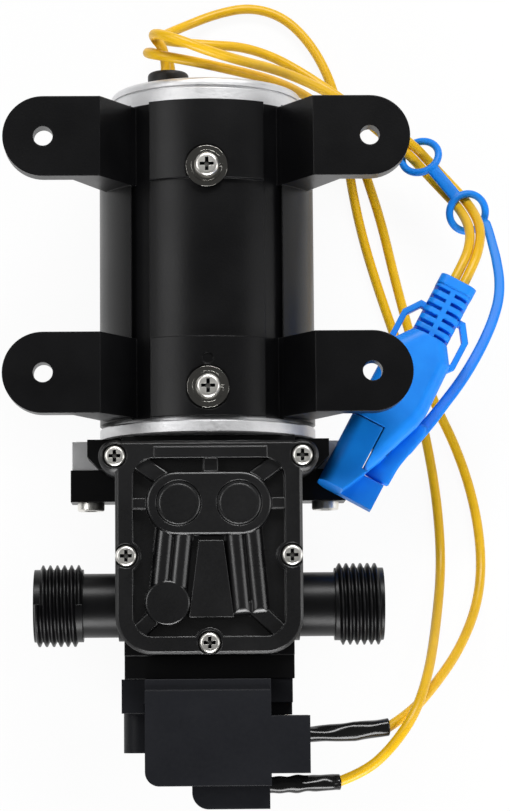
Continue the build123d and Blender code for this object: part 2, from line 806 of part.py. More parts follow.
# Rear end cap with its bearing, tie bolts and grommet
rear_bearing_y1 = end_face_y + end_boss_h - bearing_wall
rear_bearing_y0 = rear_bearing_y1 - bearing_w
cap = rod_y(end_cap_r, can_y1, end_face_y)
cap = fillet(edges_at(cap, Axis.Y, end_face_y), end_edge_r)
boss = rod_y(end_boss_r, end_face_y, end_face_y + end_boss_h)
cap = cap + fillet(edges_at(boss, Axis.Y, end_face_y + end_boss_h), end_edge_r / 2)
cap = cap + rod_y(end_spigot_r, can_y1 - end_spigot_len, can_y1)
cap = cap - rod_y(end_cap_bore_r, can_y1 - end_spigot_len - overrun, end_face_y - end_cap_wall)
cap = cap - rod_y(bearing_r + press_gap, can_y1, rear_bearing_y1)
groove_y = end_face_y - end_groove_from_face
cap = cap - tube_y(end_cap_r + overrun, end_cap_r - end_groove_depth, groove_y - end_groove_w, groove_y)
cap = cap - rod_y(grommet_neck_r + press_gap, can_y1, end_face_y + overrun, grommet_x, grommet_z)
tie_places = [axis_z - tie_bolt_at_r, axis_z + tie_bolt_at_r]
tie_seat_y = end_face_y - tie_head_sink
for z in tie_places:
    cap = cap - rod_y(tie_hole_r, can_y1, end_face_y + overrun, 0, z)
    cap = cap - rod_y(tie_head_r + tie_head_gap, tie_seat_y, end_face_y + overrun, 0, z)
node("motor_end_cap", cap)
node("rear_bearing", bearing(bearing_r, shaft_r + running_gap, rear_bearing_y0, bearing_w))
tie_end_y = flange_y + overrun
tie_bolt = pan_screw(tie_bolt_r, tie_seat_y - tie_end_y, tie_head_r, tie_head_h)
node("motor_tie_bolts", *[Pos(0, tie_seat_y, z) * Rot(-90, 0, 0) * tie_bolt for z in tie_places])
lip_y1 = end_face_y - end_cap_wall
grommet_y1 = end_face_y + grommet_head_h
grommet = rod_y(grommet_head_r, end_face_y, grommet_y1, grommet_x, grommet_z)
grommet = fillet(edges_at(grommet, Axis.Y, grommet_y1), grommet_edge_r)
grommet = grommet + rod_y(grommet_neck_r, lip_y1, end_face_y, grommet_x, grommet_z)
grommet = grommet + rod_y(grommet_lip_r, lip_y1 - grommet_lip_t, lip_y1, grommet_x, grommet_z)
node("wire_grommet", grommet)

# Armature: core, windings, commutator and shaft
bearing_y0 = can_y0 - bearing_w
cam_bearing_y0 = chamber_y - cam_bearing_w / 2
journal_y0 = cam_bearing_y0 - running_gap * 6
shaft_y0 = journal_y0 - shaft_tip
shaft_y1 = rear_bearing_y1 - bearing_wall / 2
node("motor_shaft", rod_y(shaft_r, shaft_y0, shaft_y1))
slot = block(-slot_w / 2, slot_w / 2, core_y0 - overrun, core_y1 + overrun, axis_z + core_r - slot_depth,
             axis_z + core_r + overrun)
core = rod_y(core_r, core_y0, core_y1)
for cut in around(core_slots, slot):
    core = core - cut
node("armature_core", core - rod_y(shaft_r + press_gap, core_y0 - overrun, core_y1 + overrun))
winding_bar = block(-slot_w / 2 + fit_gap, slot_w / 2 - fit_gap, core_y0 - winding_edge_r, core_y1 + winding_edge_r,
                    axis_z + core_r - slot_depth + fit_gap, axis_z + winding_r - fit_gap)
windings = None
for y0, y1, face in ((core_y0 - winding_h, core_y0, core_y0 - winding_h),
                     (core_y1, core_y1 + winding_h, core_y1 + winding_h)):
    ring = rod_y(winding_r, y0, y1)
    ring = fillet(edges_at(ring, Axis.Y, face), winding_edge_r) - rod_y(winding_in_r, y0 - overrun, y1 + overrun)
    windings = ring if windings is None else windings + ring
for bar in around(core_slots, winding_bar):
    windings = windings + bar
node("armature_windings", windings)
commutator_y0 = core_y1 + winding_h + commutator_gap
commutator_y1 = commutator_y0 + commutator_len
commutator = tube_y(commutator_r, shaft_r + press_gap, commutator_y0, commutator_y1)
slit = block(-commutator_slit / 2, commutator_slit / 2, commutator_y0 - overrun, commutator_y1 - commutator_slit * 3,
             axis_z + commutator_r - commutator_slit * 2, axis_z + commutator_r + overrun)
for cut in around(commutator_bars, slit):
    commutator = commutator - cut
node("commutator", commutator)

# Brush gear
brush_plate_y1 = can_y1 - end_spigot_len
brush_plate_y0 = brush_plate_y1 - brush_plate_t
brush_y1 = brush_plate_y0 - brush_box_wall
brush_y0 = brush_y1 - brush_y
plate = tube_y(can_bore_r - fit_gap, brush_plate_bore_r, brush_plate_y0, brush_plate_y1)
for z in tie_places:
    notch_r = tie_bolt_r + fit_gap * 4
    plate = plate - rod_y(notch_r, brush_plate_y0 - overrun, brush_plate_y1 + overrun, 0, z)
box_half_z = brush_z / 2 + brush_box_wall
for side in (-1, 1):
    box = block(side * brush_box_start, side * brush_box_end, brush_y0 - brush_box_wall, brush_plate_y0,
                axis_z - box_half_z, axis_z + box_half_z)
    hollow = block(side * (brush_box_start - overrun), side * (brush_box_end - brush_box_wall), brush_y0 - fit_gap,
                   brush_y1 + fit_gap, axis_z - brush_z / 2 - fit_gap, axis_z + brush_z / 2 + fit_gap)
    plate = plate + box - hollow
node("brush_plate", plate)
brush_in = commutator_r + running_gap
brush_out = brush_in + brush_x
brush_mid_y = (brush_y0 + brush_y1) / 2
brush_spring_len = brush_box_end - brush_box_wall - brush_out
brush = block(brush_in, brush_out, brush_y0, brush_y1, axis_z - brush_z / 2, axis_z + brush_z / 2)
spring = coil(brush_spring_r, brush_spring_wire, brush_spring_len, brush_spring_turns)
spring = Pos(brush_out, brush_mid_y, axis_z) * Rot(0, 90, 0) * spring
half_turn = Pos(0, 0, axis_z) * Rot(0, 180, 0) * Pos(0, 0, -axis_z)
node("carbon_brushes", brush, half_turn * brush)
node("brush_springs", spring, half_turn * spring)

# Motor flange with the front bearing
flange = rod_y(flange_r, flange_y, can_y0)
flange = chamfer(edges_at(flange, Axis.Y, flange_y), flange_edge_r)
flange = chamfer(edges_at(flange, Axis.Y, can_y0), flange_edge_r)
flange = flange + rod_y(flange_spigot_r, flange_y - flange_spigot_len, flange_y)
spigot = tube_y(can_bore_r - fit_gap, can_bore_r - can_spigot_wall, can_y0, can_y0 + can_spigot_len)
flange = flange + spigot
lug_y0 = flange_y - lug_len
for side in (-1, 1):
    flange = flange + block(side * lug_x_in, side * lug_x_out, lug_y0, flange_y, axis_z - lug_half_z,
                            axis_z + lug_half_z)
    flange = flange - rod_y(flange_bolt_r + press_gap, lug_y0 - overrun, lug_y0 + flange_bolt_grip,
                            side * flange_bolt_x)
for z in tie_places:
    flange = flange + rod_y(tie_head_r, can_y0, can_y0 + can_spigot_len, 0, z)
    flange = flange - rod_y(tie_bolt_r + press_gap, flange_y + overrun - fit_gap, can_y0 + can_len, 0, z)
flange = flange - rod_y(bearing_r + press_gap, bearing_y0, can_y0 + overrun)
flange = flange - rod_y(shaft_r + flange_shaft_gap, flange_y - flange_spigot_len - overrun, can_y0)
node("motor_flange", flange)
node("front_bearing", bearing(bearing_r, shaft_r + running_gap, bearing_y0, bearing_w))

# Crank: eccentric with its counterweight, ball bearing, connecting rod
spigot_face_y = flange_y - flange_spigot_len
hub_y1 = spigot_face_y - weight_gap
cam_bearing_y1 = cam_bearing_y0 + cam_bearing_w
weight_y0 = chamber_y + rod_plate_r + weight_gap
cam = rod_y(journal_r, journal_y0, cam_bearing_y1 + overrun, 0, cam_centre_z)
cam = cam + rod_y(hub_r, cam_bearing_y1, hub_y1)
weight_y1 = weight_y0 + weight_t
weight = rod_y(weight_r, weight_y0, weight_y1)
weight_reach = weight_r / math.cos(math.radians(weight_angle / 4))
cam = cam + (weight & sector_y(weight_angle / 2, 270, weight_reach, weight_y0, weight_y1))
node("crank_eccentric", cam - rod_y(shaft_r + press_gap, shaft_y0, hub_y1 + overrun))
node("crank_bearing", bearing(cam_bearing_r, journal_r + press_gap, cam_bearing_y0, cam_bearing_w, cam_centre_z))
rod_bore_r = cam_bearing_r + running_gap
rod_ring_r = rod_bore_r + rod_ring_wall
rod_y0 = chamber_y - rod_ring_w / 2
rod_y1 = chamber_y + rod_ring_w / 2
rod_plate_z = rod_plate_top_z - rod_plate_t
con_rod = rod_y(rod_ring_r, rod_y0, rod_y1, 0, cam_centre_z)
con_rod = con_rod + block(-journal_r, journal_r, rod_y0, rod_y1, cam_centre_z + rod_bore_r, rod_plate_top_z)
con_rod = con_rod + rod_z(rod_plate_r, rod_plate_z, rod_plate_top_z, 0, chamber_y)
con_rod = con_rod - rod_y(rod_bore_r, rod_y0 - overrun, rod_y1 + overrun, 0, cam_centre_z)
clamp_top_z = rod_plate_top_z + clamp_t
clamp_screw_z = clamp_top_z - clamp_screw_head_h
con_rod = con_rod - rod_z(clamp_screw_r + press_gap, clamp_screw_z - clamp_screw_len, clamp_top_z, 0, chamber_y)
node("connecting_rod", con_rod)
clamp = rod_z(rod_plate_r, rod_plate_top_z, clamp_top_z, 0, chamber_y)
clamp = fillet(edges_at(clamp, Axis.Z, clamp_top_z), clamp_edge_r)
clamp = clamp - rod_z(clamp_screw_head_r + fit_gap, clamp_screw_z, clamp_top_z + overrun, 0, chamber_y)
clamp = clamp - rod_z(clamp_screw_r + fit_gap, rod_plate_z, clamp_top_z, 0, chamber_y)
node("diaphragm_clamp", clamp)
clamp_screw = pan_screw(clamp_screw_r, clamp_screw_len, clamp_screw_head_r, clamp_screw_head_h)
node("clamp_screw", Pos(0, chamber_y, clamp_screw_z) * clamp_screw)
diaphragm = rod_z(diaphragm_r, diaphragm_z, plug_bottom_z, 0, chamber_y)
diaphragm = diaphragm - rod_z(diaphragm_bore_r, axis_z, ear_face_z, 0, chamber_y)
bead_z = (diaphragm_z + plug_bottom_z) / 2
diaphragm = diaphragm + Pos(0, chamber_y, bead_z) * Torus(diaphragm_bead_r, diaphragm_bead)
node("diaphragm", diaphragm)


def port_thread(side):
    """One port: collar, neck, thread and bore. A male thread of G1/2 size."""
    end_x = side * port_half_span
    thread_len = thread_pitch * thread_turns + thread_relief * 2
    root_r = thread_r - thread_depth
    thread_x = side * (port_half_span - thread_len)
    solid = rod_x(neck_r, side * (head_half_w - overrun), thread_x, port_y, port_z)
    solid = solid + rod_x(root_r, thread_x, end_x, port_y, port_z)
    collar_x = side * (head_half_w + port_collar_len)
    solid = solid + rod_x(port_collar_r, side * (head_half_w - overrun), collar_x, port_y, port_z)
    path = Helix(pitch=thread_pitch, height=thread_pitch * thread_turns, radius=root_r - running_gap)
    start = Plane(origin=path @ 0, z_dir=path % 0, x_dir=(1, 0, 0))
    foot = thread_pitch * thread_foot_share
    tip = thread_pitch * thread_tip_share
    depth = thread_depth + running_gap
    profile = start * make_face(Polyline((0, -foot), (depth, -tip), (depth, tip), (0, foot), close=True))
    ridge = sweep(profile, path=path, is_frenet=True)
    from_end = side * (port_half_span - thread_relief - thread_pitch * thread_turns)
    return solid + Pos(from_end, port_y, port_z) * Rot(0, side * 90, 0) * ridge


# Pump housing
seat_r = plate_plug_r + fit_gap
lug_y1 = lug_y0
housing_lug_start = port_y + housing_lug_y0
crank_case = block(-housing_half_w, housing_half_w, cam_end_y, flange_y, 0, housing_top_z)
crank_case = fillet(edges_at(crank_case, Axis.Z, 0).filter_by(Axis.Y), housing_floor_r)
head = block(-head_half_w, head_half_w, switch_seat_y, cam_end_y + overrun, head_floor_z, housing_top_z)
head = head - block(-head_half_w - overrun, head_half_w + overrun, switch_seat_y - overrun, cover_y0 - fit_gap,
                    housing_top_z - head_step_drop, housing_top_z + overrun)
housing = crank_case + head
shoulder_y0 = lug_y1 - shoulder_past_lug
shoulder_y1 = flange_y - shoulder_gap
shoulder_z0 = axis_z + lug_half_z + shoulder_gap
for side in (-1, 1):
    lug = block(side * (housing_half_w - overrun), side * housing_lug_x_out, housing_lug_start, lug_y1,
                axis_z - housing_lug_half_z, axis_z + housing_lug_half_z)
    housing = housing + lug
    shoulder_x0 = side * (housing_half_w - overrun)
    shoulder_x1 = side * shoulder_half_w
    shoulder = [(shoulder_x0, shoulder_y0), (shoulder_x1 - side * shoulder_corner, shoulder_y0),
                (shoulder_x1, shoulder_y0 + shoulder_corner), (shoulder_x1, shoulder_y1), (shoulder_x0, shoulder_y1)]
    housing = housing + prism_z(shoulder, shoulder_z0, shoulder_top_z)
    housing = housing - rod_y(flange_bolt_hole_r, housing_lug_start - overrun, flange_y, side * flange_bolt_x)
screw_end_z = housing_top_z - cover_screw_grip
for x, dy in cover_screw_places:
    boss_r = screw_boss_r if abs(x) > housing_half_w else cover_half_w - cover_screw_xs[1]
    housing = housing + rod_z(boss_r, housing_top_z - screw_boss_len, housing_top_z, x, port_y + dy)
housing = housing - rod_y(cam_bore_r, cam_end_y + cam_floor_t, flange_y + overrun)
housing = housing - rod_z(diaphragm_opening_r, axis_z, housing_top_z + overrun, 0, chamber_y)
housing = housing - rod_z(seat_r, diaphragm_z, housing_top_z + overrun, 0, chamber_y)
for side in (-1, 1):
    housing = housing + port_thread(side)
    bore_end = side * (port_half_span + overrun)
    housing = housing - rod_x(port_bore_r, side * port_bore_in, bore_end, port_y, port_z)
    housing = housing - rod_z(riser_r, port_z, housing_top_z + overrun, side * riser_x, port_y)
for x, dy in cover_screw_places:
    housing = housing - rod_z(cover_screw_r + press_gap, screw_end_z, housing_top_z + overrun, x, port_y + dy)
housing = housing - rod_z(sense_r, tower_z - sense_r, port_z, tower_x, port_y)
housing = housing - rod_y(sense_r, switch_seat_y - overrun, port_y, tower_x, tower_z)
switch_screw_y = switch_seat_y + switch_screw_grip
tower_low = tower_z - tower_half + tower_screw_inset
tower_high = tower_z + tower_half - tower_screw_inset
tower_screw_x = tower_x - tower_half + tower_screw_inset
switch_screw_places = [(tower_screw_x, tower_low), (tower_screw_x, tower_high),
                       (column_screw_x, column_screw_zs[0]), (column_screw_x, column_screw_zs[1])]
for x, z in switch_screw_places:
    housing = housing - rod_y(switch_screw_r + press_gap, switch_seat_y - overrun, switch_screw_y, x, z)
node("pump_housing", housing)

# Flange bolts
bolt_len = lug_y0 - housing_lug_start + flange_bolt_grip - fit_gap
bolt = Rot(90, 0, 0) * socket_screw(flange_bolt_r, bolt_len, flange_bolt_head_r, flange_bolt_head_h)
node("flange_bolts", *[Pos(side * flange_bolt_x, housing_lug_start, axis_z) * bolt for side in (-1, 1)])


def cover_outline(z0, z1, edge=0):
    """The outline that the valve plate, the gasket and the cover share."""
    body = block(-cover_half_w, cover_half_w, cover_y0, cover_y1, z0, z1)
    upright = body.edges().filter_by(Axis.Z)
    body = fillet(upright.filter_by_position(Axis.Y, cover_y0 - overrun, cover_y0 + overrun), cover_corner_r)
    upright = body.edges().filter_by(Axis.Z)
    body = fillet(upright.filter_by_position(Axis.Y, cover_y1 - overrun, cover_y1 + overrun), cover_top_corner_r)
    if edge:
        body = chamfer(edges_at(body, Axis.Z, z1), edge)
    for side in (-1, 1):
        ear = rod_z(cover_ear_r, z0, z1, side * cover_screw_xs[0], port_y + cover_screw_ys[0])
        body = body + (chamfer(edges_at(ear, Axis.Z, z1), edge) if edge else ear)
    return body


def cover_holes(r, z0, z1):
    """The holes of the five cover screws, as one cutting shape."""
    holes = None
    for x, dy in cover_screw_places:
        hole = rod_z(r, z0, z1, x, port_y + dy)
        holes = hole if holes is None else holes + hole
    return holes


# Valve plate
valve_plate = cover_outline(housing_top_z, plate_flange_top_z)
valve_plate = valve_plate + rod_z(plate_plug_r, plug_bottom_z, housing_top_z, 0, chamber_y)
valve_plate = valve_plate - rod_z(pressure_recess_r, diaphragm_z, pressure_roof_z, 0, chamber_y)
for side in (-1, 1):
    x = side * valve_x
    valve_plate = valve_plate - rod_z(valve_pocket_r, pressure_roof_z - overrun, web_low_z, x, chamber_y)
    valve_plate = valve_plate - rod_z(valve_pocket_r, web_high_z, plate_flange_top_z + overrun, x, chamber_y)
    valve_plate = valve_plate - rod_z(valve_stem_r + running_gap, pressure_roof_z, web_high_z + overrun, x, chamber_y)
    for index in range(valve_ports):
        angle = math.radians(index * 360 / valve_ports)
        hole_x = x + valve_port_at_r * math.cos(angle)
        hole_y = chamber_y + valve_port_at_r * math.sin(angle)
        valve_plate = valve_plate - rod_z(valve_port_r, pressure_roof_z, web_high_z + overrun, hole_x, hole_y)
    valve_plate = valve_plate - rod_z(riser_r, plug_bottom_z, plate_flange_top_z + overrun, side * riser_x, port_y)
valve_plate = valve_plate - cover_holes(cover_screw_hole_r, plug_bottom_z, plate_flange_top_z + overrun)
node("valve_plate", valve_plate)


def umbrella_valve(x, up):
    """A rubber valve: disc, stem and bulb. up is 1 with the disc above the web."""
    near = web_high_z if up > 0 else web_low_z
    far = web_low_z if up > 0 else web_high_z
    disc_a = near + up * valve_rest_gap
    disc_b = disc_a + up * valve_disc_t
    bulb_a = far - up * (valve_rest_gap + valve_lift)
    bulb_b = bulb_a - up * valve_bulb_t
    valve = rod_z(valve_disc_r, disc_a, disc_b, x, chamber_y)
    valve = valve + rod_z(valve_stem_r, disc_a, bulb_b, x, chamber_y)
    return valve + rod_z(valve_bulb_r, bulb_a, bulb_b, x, chamber_y)


node("outlet_valve", umbrella_valve(-valve_x, 1))
node("inlet_valve", umbrella_valve(valve_x, -1))

# Gasket between the valve plate and the cover
gasket = cover_outline(plate_flange_top_z, cover_z0)
for side in (-1, 1):
    gasket = gasket - rod_z(valve_pocket_r, plate_flange_top_z - overrun, cover_z0 + overrun, side * valve_x, chamber_y)
    gasket = gasket - rod_z(riser_r, plate_flange_top_z - overrun, cover_z0 + overrun, side * riser_x, port_y)
gasket = gasket - cover_holes(gasket_hole_r, plate_flange_top_z - overrun, cover_z0 + overrun)
node("cover_gasket", gasket)


def ridge(start, end, width, z0, z1, edge_r, round_ends=False):
    """A straight round-topped ridge between two points of the cover."""
    dx = end[0] - start[0]
    dy = end[1] - start[1]
    length = math.hypot(dx, dy)
    bar = Box(width, length, z1 - z0)
    top = edges_at(bar, Axis.Z, (z1 - z0) / 2)
    bar = fillet(top if round_ends else top.filter_by(Axis.Y), edge_r)
    turn = Rot(0, 0, math.degrees(math.atan2(-dx, dy)))
    return Pos((start[0] + end[0]) / 2, (start[1] + end[1]) / 2, (z0 + z1) / 2) * turn * bar


# Pump cover: a rimmed tray with the two channels of the water on its floor
tray_floor_z = cover_z0 + cover_base_t
cover = cover_outline(cover_z0, cover_top_z, rim_edge_r)
pocket = block(-cover_half_w + rim_w, cover_half_w - rim_w, cover_y0 + rim_w, cover_y1 - rim_w, tray_floor_z,
               cover_top_z + overrun)
pocket = fillet(pocket.edges().filter_by(Axis.Z), rim_corner_r)
for x, dy in cover_screw_places[2:]:
    pocket = pocket - rod_z(tray_boss_r, tray_floor_z - overrun, cover_top_z + overrun * 2, x, port_y + dy)
cover = cover - pocket
dome_half_h = dome_h / 2
dome_corner_r = dome_half_h - fit_gap
dome = block(-dome_half_w, dome_half_w, dome_y - dome_half_h, dome_y + dome_half_h, tray_floor_z, cover_top_z)
dome = fillet(dome.edges().filter_by(Axis.Z), dome_corner_r)
dome = fillet(edges_at(dome, Axis.Z, cover_top_z), dome_edge_r)
for side in (-1, 1):
    dish = rod_z(dish_r, cover_top_z - dish_depth, cover_top_z + overrun, side * dish_x, dome_y)
    dome = dome - dish
cover = cover + dome
ridge_top_z = cover_top_z - channel_drop
for side in (-1, 1):
    y_start = dome_y - dome_half_h + channel_edge_r * 2
    y_end = port_y - (channel_past_port if side > 0 else 0)
    for half in (-1, 1):
        shift = half * channel_ridge_pitch / 2
        start = (side * (riser_x - channel_dx) + shift, y_start)
        end = (side * riser_x + shift, y_end)
        cover = cover + ridge(start, end, channel_ridge_w, tray_floor_z, ridge_top_z, channel_edge_r, True)
boss = rod_z(riser_boss_r, tray_floor_z, ridge_top_z, -riser_x, port_y)
cover = cover + fillet(edges_at(boss, Axis.Z, ridge_top_z), rim_edge_r)
wedge_top = port_y + wedge_y[0]
wedge_low = port_y + wedge_y[1]
wedge = [(wedge_shift - wedge_half_w[0], wedge_top), (wedge_shift + wedge_half_w[0], wedge_top),
         (wedge_shift + wedge_half_w[1], wedge_low), (wedge_shift - wedge_half_w[1], wedge_low)]
cover = cover + prism_z(wedge, tray_floor_z, cover_top_z - wedge_drop)
rib_top_z = cover_top_z - rib_drop
in_x = cover_half_w - rim_w
in_top = cover_y1 - rim_w
in_low = cover_y0 + rim_w
cover = cover + block(wedge_shift - centre_rib_w / 2, wedge_shift + centre_rib_w / 2, dome_y, in_top + overrun,
                      tray_floor_z, rib_top_z)
cover = cover + block(wedge_shift - rim_bar_half_w, wedge_shift + rim_bar_half_w, in_top, in_top + rim_bar_w,
                      cover_top_z - overrun, cover_top_z + rim_bar_h)
for side in (-1, 1):
    corner = side * (in_x + overrun)
    near = side * (in_x - rib_reach)
    for y, inner_y in ((in_top + overrun, in_top - top_rib_fall), (in_low - overrun, port_y)):
        cover = cover + ridge((corner, y), (near, inner_y), corner_rib_w, tray_floor_z, rib_top_z, rim_edge_r)
    cover = cover + block(side * (dome_half_w - overrun), corner, dome_y - rib_w / 2, dome_y + rib_w / 2,
                          tray_floor_z, rib_top_z)
    start = (side * valve_x, dome_y)
    end = (side * riser_x, port_y)
    dx = end[0] - start[0]
    dy = end[1] - start[1]
    duct = Box(inner_channel_w, math.hypot(dx, dy), inner_channel_h * 2)
    turn = Rot(0, 0, math.degrees(math.atan2(-dx, dy)))
    cover = cover - Pos((start[0] + end[0]) / 2, (start[1] + end[1]) / 2, cover_z0) * turn * duct
    hollow_z = cover_z0 + cover_base_t / 2
    cover = cover - rod_z(riser_r, cover_z0 - overrun, hollow_z, end[0], end[1])
    cover = cover - rod_z(valve_pocket_r - fit_gap, cover_z0 - overrun, hollow_z, start[0], chamber_y)
cover = cover - cover_holes(cover_screw_hole_r, cover_z0 - overrun, cover_top_z + overrun)
screw_seat_z = cover_top_z - cover_head_h * head_sink_share
cover = cover - cover_holes(cover_head_r + spot_margin, screw_seat_z, cover_top_z + overrun)
node("pump_cover", cover)
cover_screw = pan_screw(cover_screw_r, screw_seat_z - screw_end_z - overrun, cover_head_r, cover_head_h)
node("cover_screws", *[Pos(x, port_y + dy, screw_seat_z) * cover_screw for x, dy in cover_screw_places])

# Pressure switch body
plate_y = switch_seat_y - switch_plate_t
tower_end_y = plate_y - tower_len
switch = block(switch_left_x, switch_right_x, plate_y, switch_seat_y, switch_z0, switch_z1)
switch = switch + block(switch_left_x, switch_column_in_left, switch_seat_y - left_column_len, switch_seat_y,
                        switch_z0, switch_z1)
switch = switch + block(switch_column_in_right, switch_right_x, switch_seat_y - right_column_len, switch_seat_y,
                        switch_z0, right_column_top_z)
tower = block(tower_x - tower_half, tower_x + tower_half, tower_end_y, switch_seat_y, tower_z - tower_half,
              tower_z + tower_half)
switch = switch + fillet(tower.edges().filter_by(Axis.Y), tower_corner_r)
micro_y1 = plate_y - micro_gap
micro_y0 = micro_y1 - micro_h
peg_places = [(micro_x0 + micro_hole_x[0], micro_y1 - micro_hole_y[0]),
              (micro_x0 + micro_hole_x[1], micro_y1 - micro_hole_y[1])]
tower_top_z = tower_z + tower_half
shelf_z0 = case_z0 + fit_gap * 4
shelf_y0 = peg_places[1][1] - micro_post_r
shelf_y1 = peg_places[1][1] + micro_post_r
switch = switch + block(tower_x, peg_places[1][0] + micro_post_r, tower_end_y, tower_end_y + micro_post_r * 2,
                        tower_top_z - overrun, micro_z0)
switch = switch + block(peg_places[1][0] - micro_post_r, peg_places[1][0] + micro_post_r, shelf_y0,
                        tower_end_y + overrun, shelf_z0, micro_z0)
switch = switch + rod_z(micro_post_r, tower_top_z - overrun, micro_z0, peg_places[0][0], peg_places[0][1])
for x, y in peg_places:
    switch = switch + rod_z(micro_hole_r - fit_gap, micro_z0 - overrun, micro_z0 + micro_t / 2, x, y)
recess_floor_y = switch_seat_y - switch_diaphragm_t
bore = rod_y(piston_bore_r, tower_end_y - overrun, switch_seat_y, tower_x, tower_z)
switch = switch - bore
switch = switch - rod_y(switch_diaphragm_r + fit_gap, recess_floor_y, switch_seat_y + overrun, tower_x, tower_z)
piston_y1 = recess_floor_y - switch_diaphragm_gap
piston_y0 = piston_y1 - piston_t
slot_half_w = finger_w / 2 + running_gap * 4
button_face_y = micro_y1 + button_out
finger_y0 = button_face_y + running_gap
slot_y0 = piston_y0 - piston_travel - fit_gap * 2
switch = switch - block(tower_x - slot_half_w, tower_x + slot_half_w, slot_y0, switch_seat_y + overrun,
                        tower_z, switch_z1 + overrun)
pad_z0 = switch_z1 - finger_pad_h
switch = switch - block(tower_x - slot_half_w, tower_x + slot_half_w, plate_y - overrun, switch_seat_y + overrun,
                        pad_z0 - fit_gap, switch_z1 + overrun)
for x, z in switch_screw_places[:2]:
    switch = switch - rod_y(switch_screw_hole_r, tower_end_y - overrun, switch_seat_y + overrun, x, z)
    switch = switch - rod_y(switch_head_r + fit_gap, tower_end_y - overrun, tower_end_y + switch_head_sink, x, z)
for x, z in switch_screw_places[2:]:
    switch = switch - rod_y(switch_screw_hole_r, tower_end_y, switch_seat_y + overrun, x, z)
node("switch_body", switch)

# Switch diaphragm, piston with its finger, spring and adjusting screw
node("switch_diaphragm", rod_y(switch_diaphragm_r, recess_floor_y, switch_seat_y, tower_x, tower_z))
piston_r = piston_bore_r - running_gap
piston = rod_y(piston_r, piston_y0, piston_y1, tower_x, tower_z)
piston = piston + rod_y(piston_stem_r, piston_y0 - piston_stem_len, piston_y0, tower_x, tower_z)
finger_top_z = switch_z1 - fit_gap * 4
piston = piston + block(tower_x - finger_w / 2, tower_x + finger_w / 2, piston_y0, piston_y1, tower_z, finger_top_z)
piston = piston + block(tower_x - finger_w / 2, tower_x + finger_w / 2, finger_y0, piston_y1, pad_z0 + fit_gap,
                        finger_top_z)
node("switch_piston", piston)
adjuster_r = piston_bore_r - running_gap
adjuster_y0 = tower_end_y - adjuster_out
adjuster_y1 = adjuster_y0 + adjuster_t
adjuster = rod_y(adjuster_r, adjuster_y0, adjuster_y1, tower_x, tower_z)
adjuster = chamfer(edges_at(adjuster, Axis.Y, adjuster_y0), flange_edge_r)
hexagon = extrude(RegularPolygon(adjuster_hex / 2 / math.cos(math.radians(30)), 6), adjuster_hex_depth + overrun)
adjuster = adjuster - Pos(tower_x, adjuster_y0 + adjuster_hex_depth, tower_z) * Rot(90, 0, 0) * hexagon
adjuster = adjuster + rod_y(adjuster_boss_r, adjuster_y1, adjuster_y1 + adjuster_boss_t, tower_x, tower_z)
node("adjusting_screw", adjuster)
spring_len = piston_y0 - adjuster_y1 - running_gap * 2
spring = coil(spring_r, spring_wire, spring_len, spring_turns)
node("switch_spring", Pos(tower_x, piston_y0 - running_gap, tower_z) * Rot(90, 0, 0) * spring)

# Microswitch with its button and terminals
micro = block(micro_x0, micro_x0 + micro_len, micro_y0, micro_y1, micro_z0, micro_z0 + micro_t)
micro = fillet(micro.edges().filter_by(Axis.Z), micro_edge_r)
for x, y in peg_places:
    micro = micro - rod_z(micro_hole_r, micro_z0 - overrun, micro_z0 + micro_t + overrun, x, y)
button_z = (pad_z0 + finger_top_z) / 2
half_b = button_w / 2
button = block(tower_x - half_b, tower_x + half_b, micro_y1 - button_in, button_face_y, button_z - half_b,
               button_z + half_b)
hollow = block(tower_x - half_b - running_gap, tower_x + half_b + running_gap, micro_y1 - button_in - overrun,
               micro_y1 + overrun, button_z - half_b - running_gap, button_z + half_b + running_gap)
node("microswitch_body", micro - hollow)
node("microswitch_button", button)

# The two spade terminals, each with a crimped tail inside its shrink sleeve
micro_x1 = micro_x0 + micro_len
blade_y = switch_seat_y - side_blade_from_seat
spade_x = micro_x1 + side_blade_len
half_w = blade_w / 2
half_t = blade_t / 2
upper_terminal = block(micro_x1, spade_x, blade_y - half_w, blade_y + half_w, wire_z - half_t, wire_z + half_t)
end_blade_y0 = micro_y0 - end_blade_reach
lower_terminal = block(end_blade_x[0], end_blade_x[0] + blade_w, end_blade_y0, micro_y0, wire_z - half_t,
                       wire_z + half_t)
tail_y = micro_y0 - lower_tail_reach
arm_x1 = end_blade_x[1] - overrun
lower_terminal = lower_terminal + block(end_blade_x[0], arm_x1, tail_y - tail_r, tail_y + tail_r,
                                        wire_z - half_t, wire_z + half_t)


def straight(start, end, r):
    """A round bar between two points."""
    path = Line(start, end)
    return sweep(Plane(origin=path @ 0, z_dir=path % 0) * Circle(r), path=path)


def share_of(start, end, distance):
    """The point at a distance from the start on the way to the end."""
    length = math.dist(start, end)
    return tuple(a + (b - a) * distance / length for a, b in zip(start, end))


def sleeve_and_tail(start, wire_end):
    """A shrink sleeve and the crimped tail inside it, both ending just before the wire."""
    length = math.dist(start, wire_end)
    sleeve_start = share_of(start, wire_end, tail_bare)
    sleeve_end = share_of(start, wire_end, length - shrink_start_gap)
    sleeve = straight(sleeve_start, sleeve_end, shrink_r)
    bore_start = share_of(start, wire_end, tail_bare - overrun)
    bore_end = share_of(start, wire_end, length + overrun)
    sleeve = sleeve - straight(bore_start, bore_end, tail_r + fit_gap)
    tail_end = share_of(start, wire_end, length - shrink_start_gap - tail_short)
    return sleeve, straight(start, tail_end, tail_r)


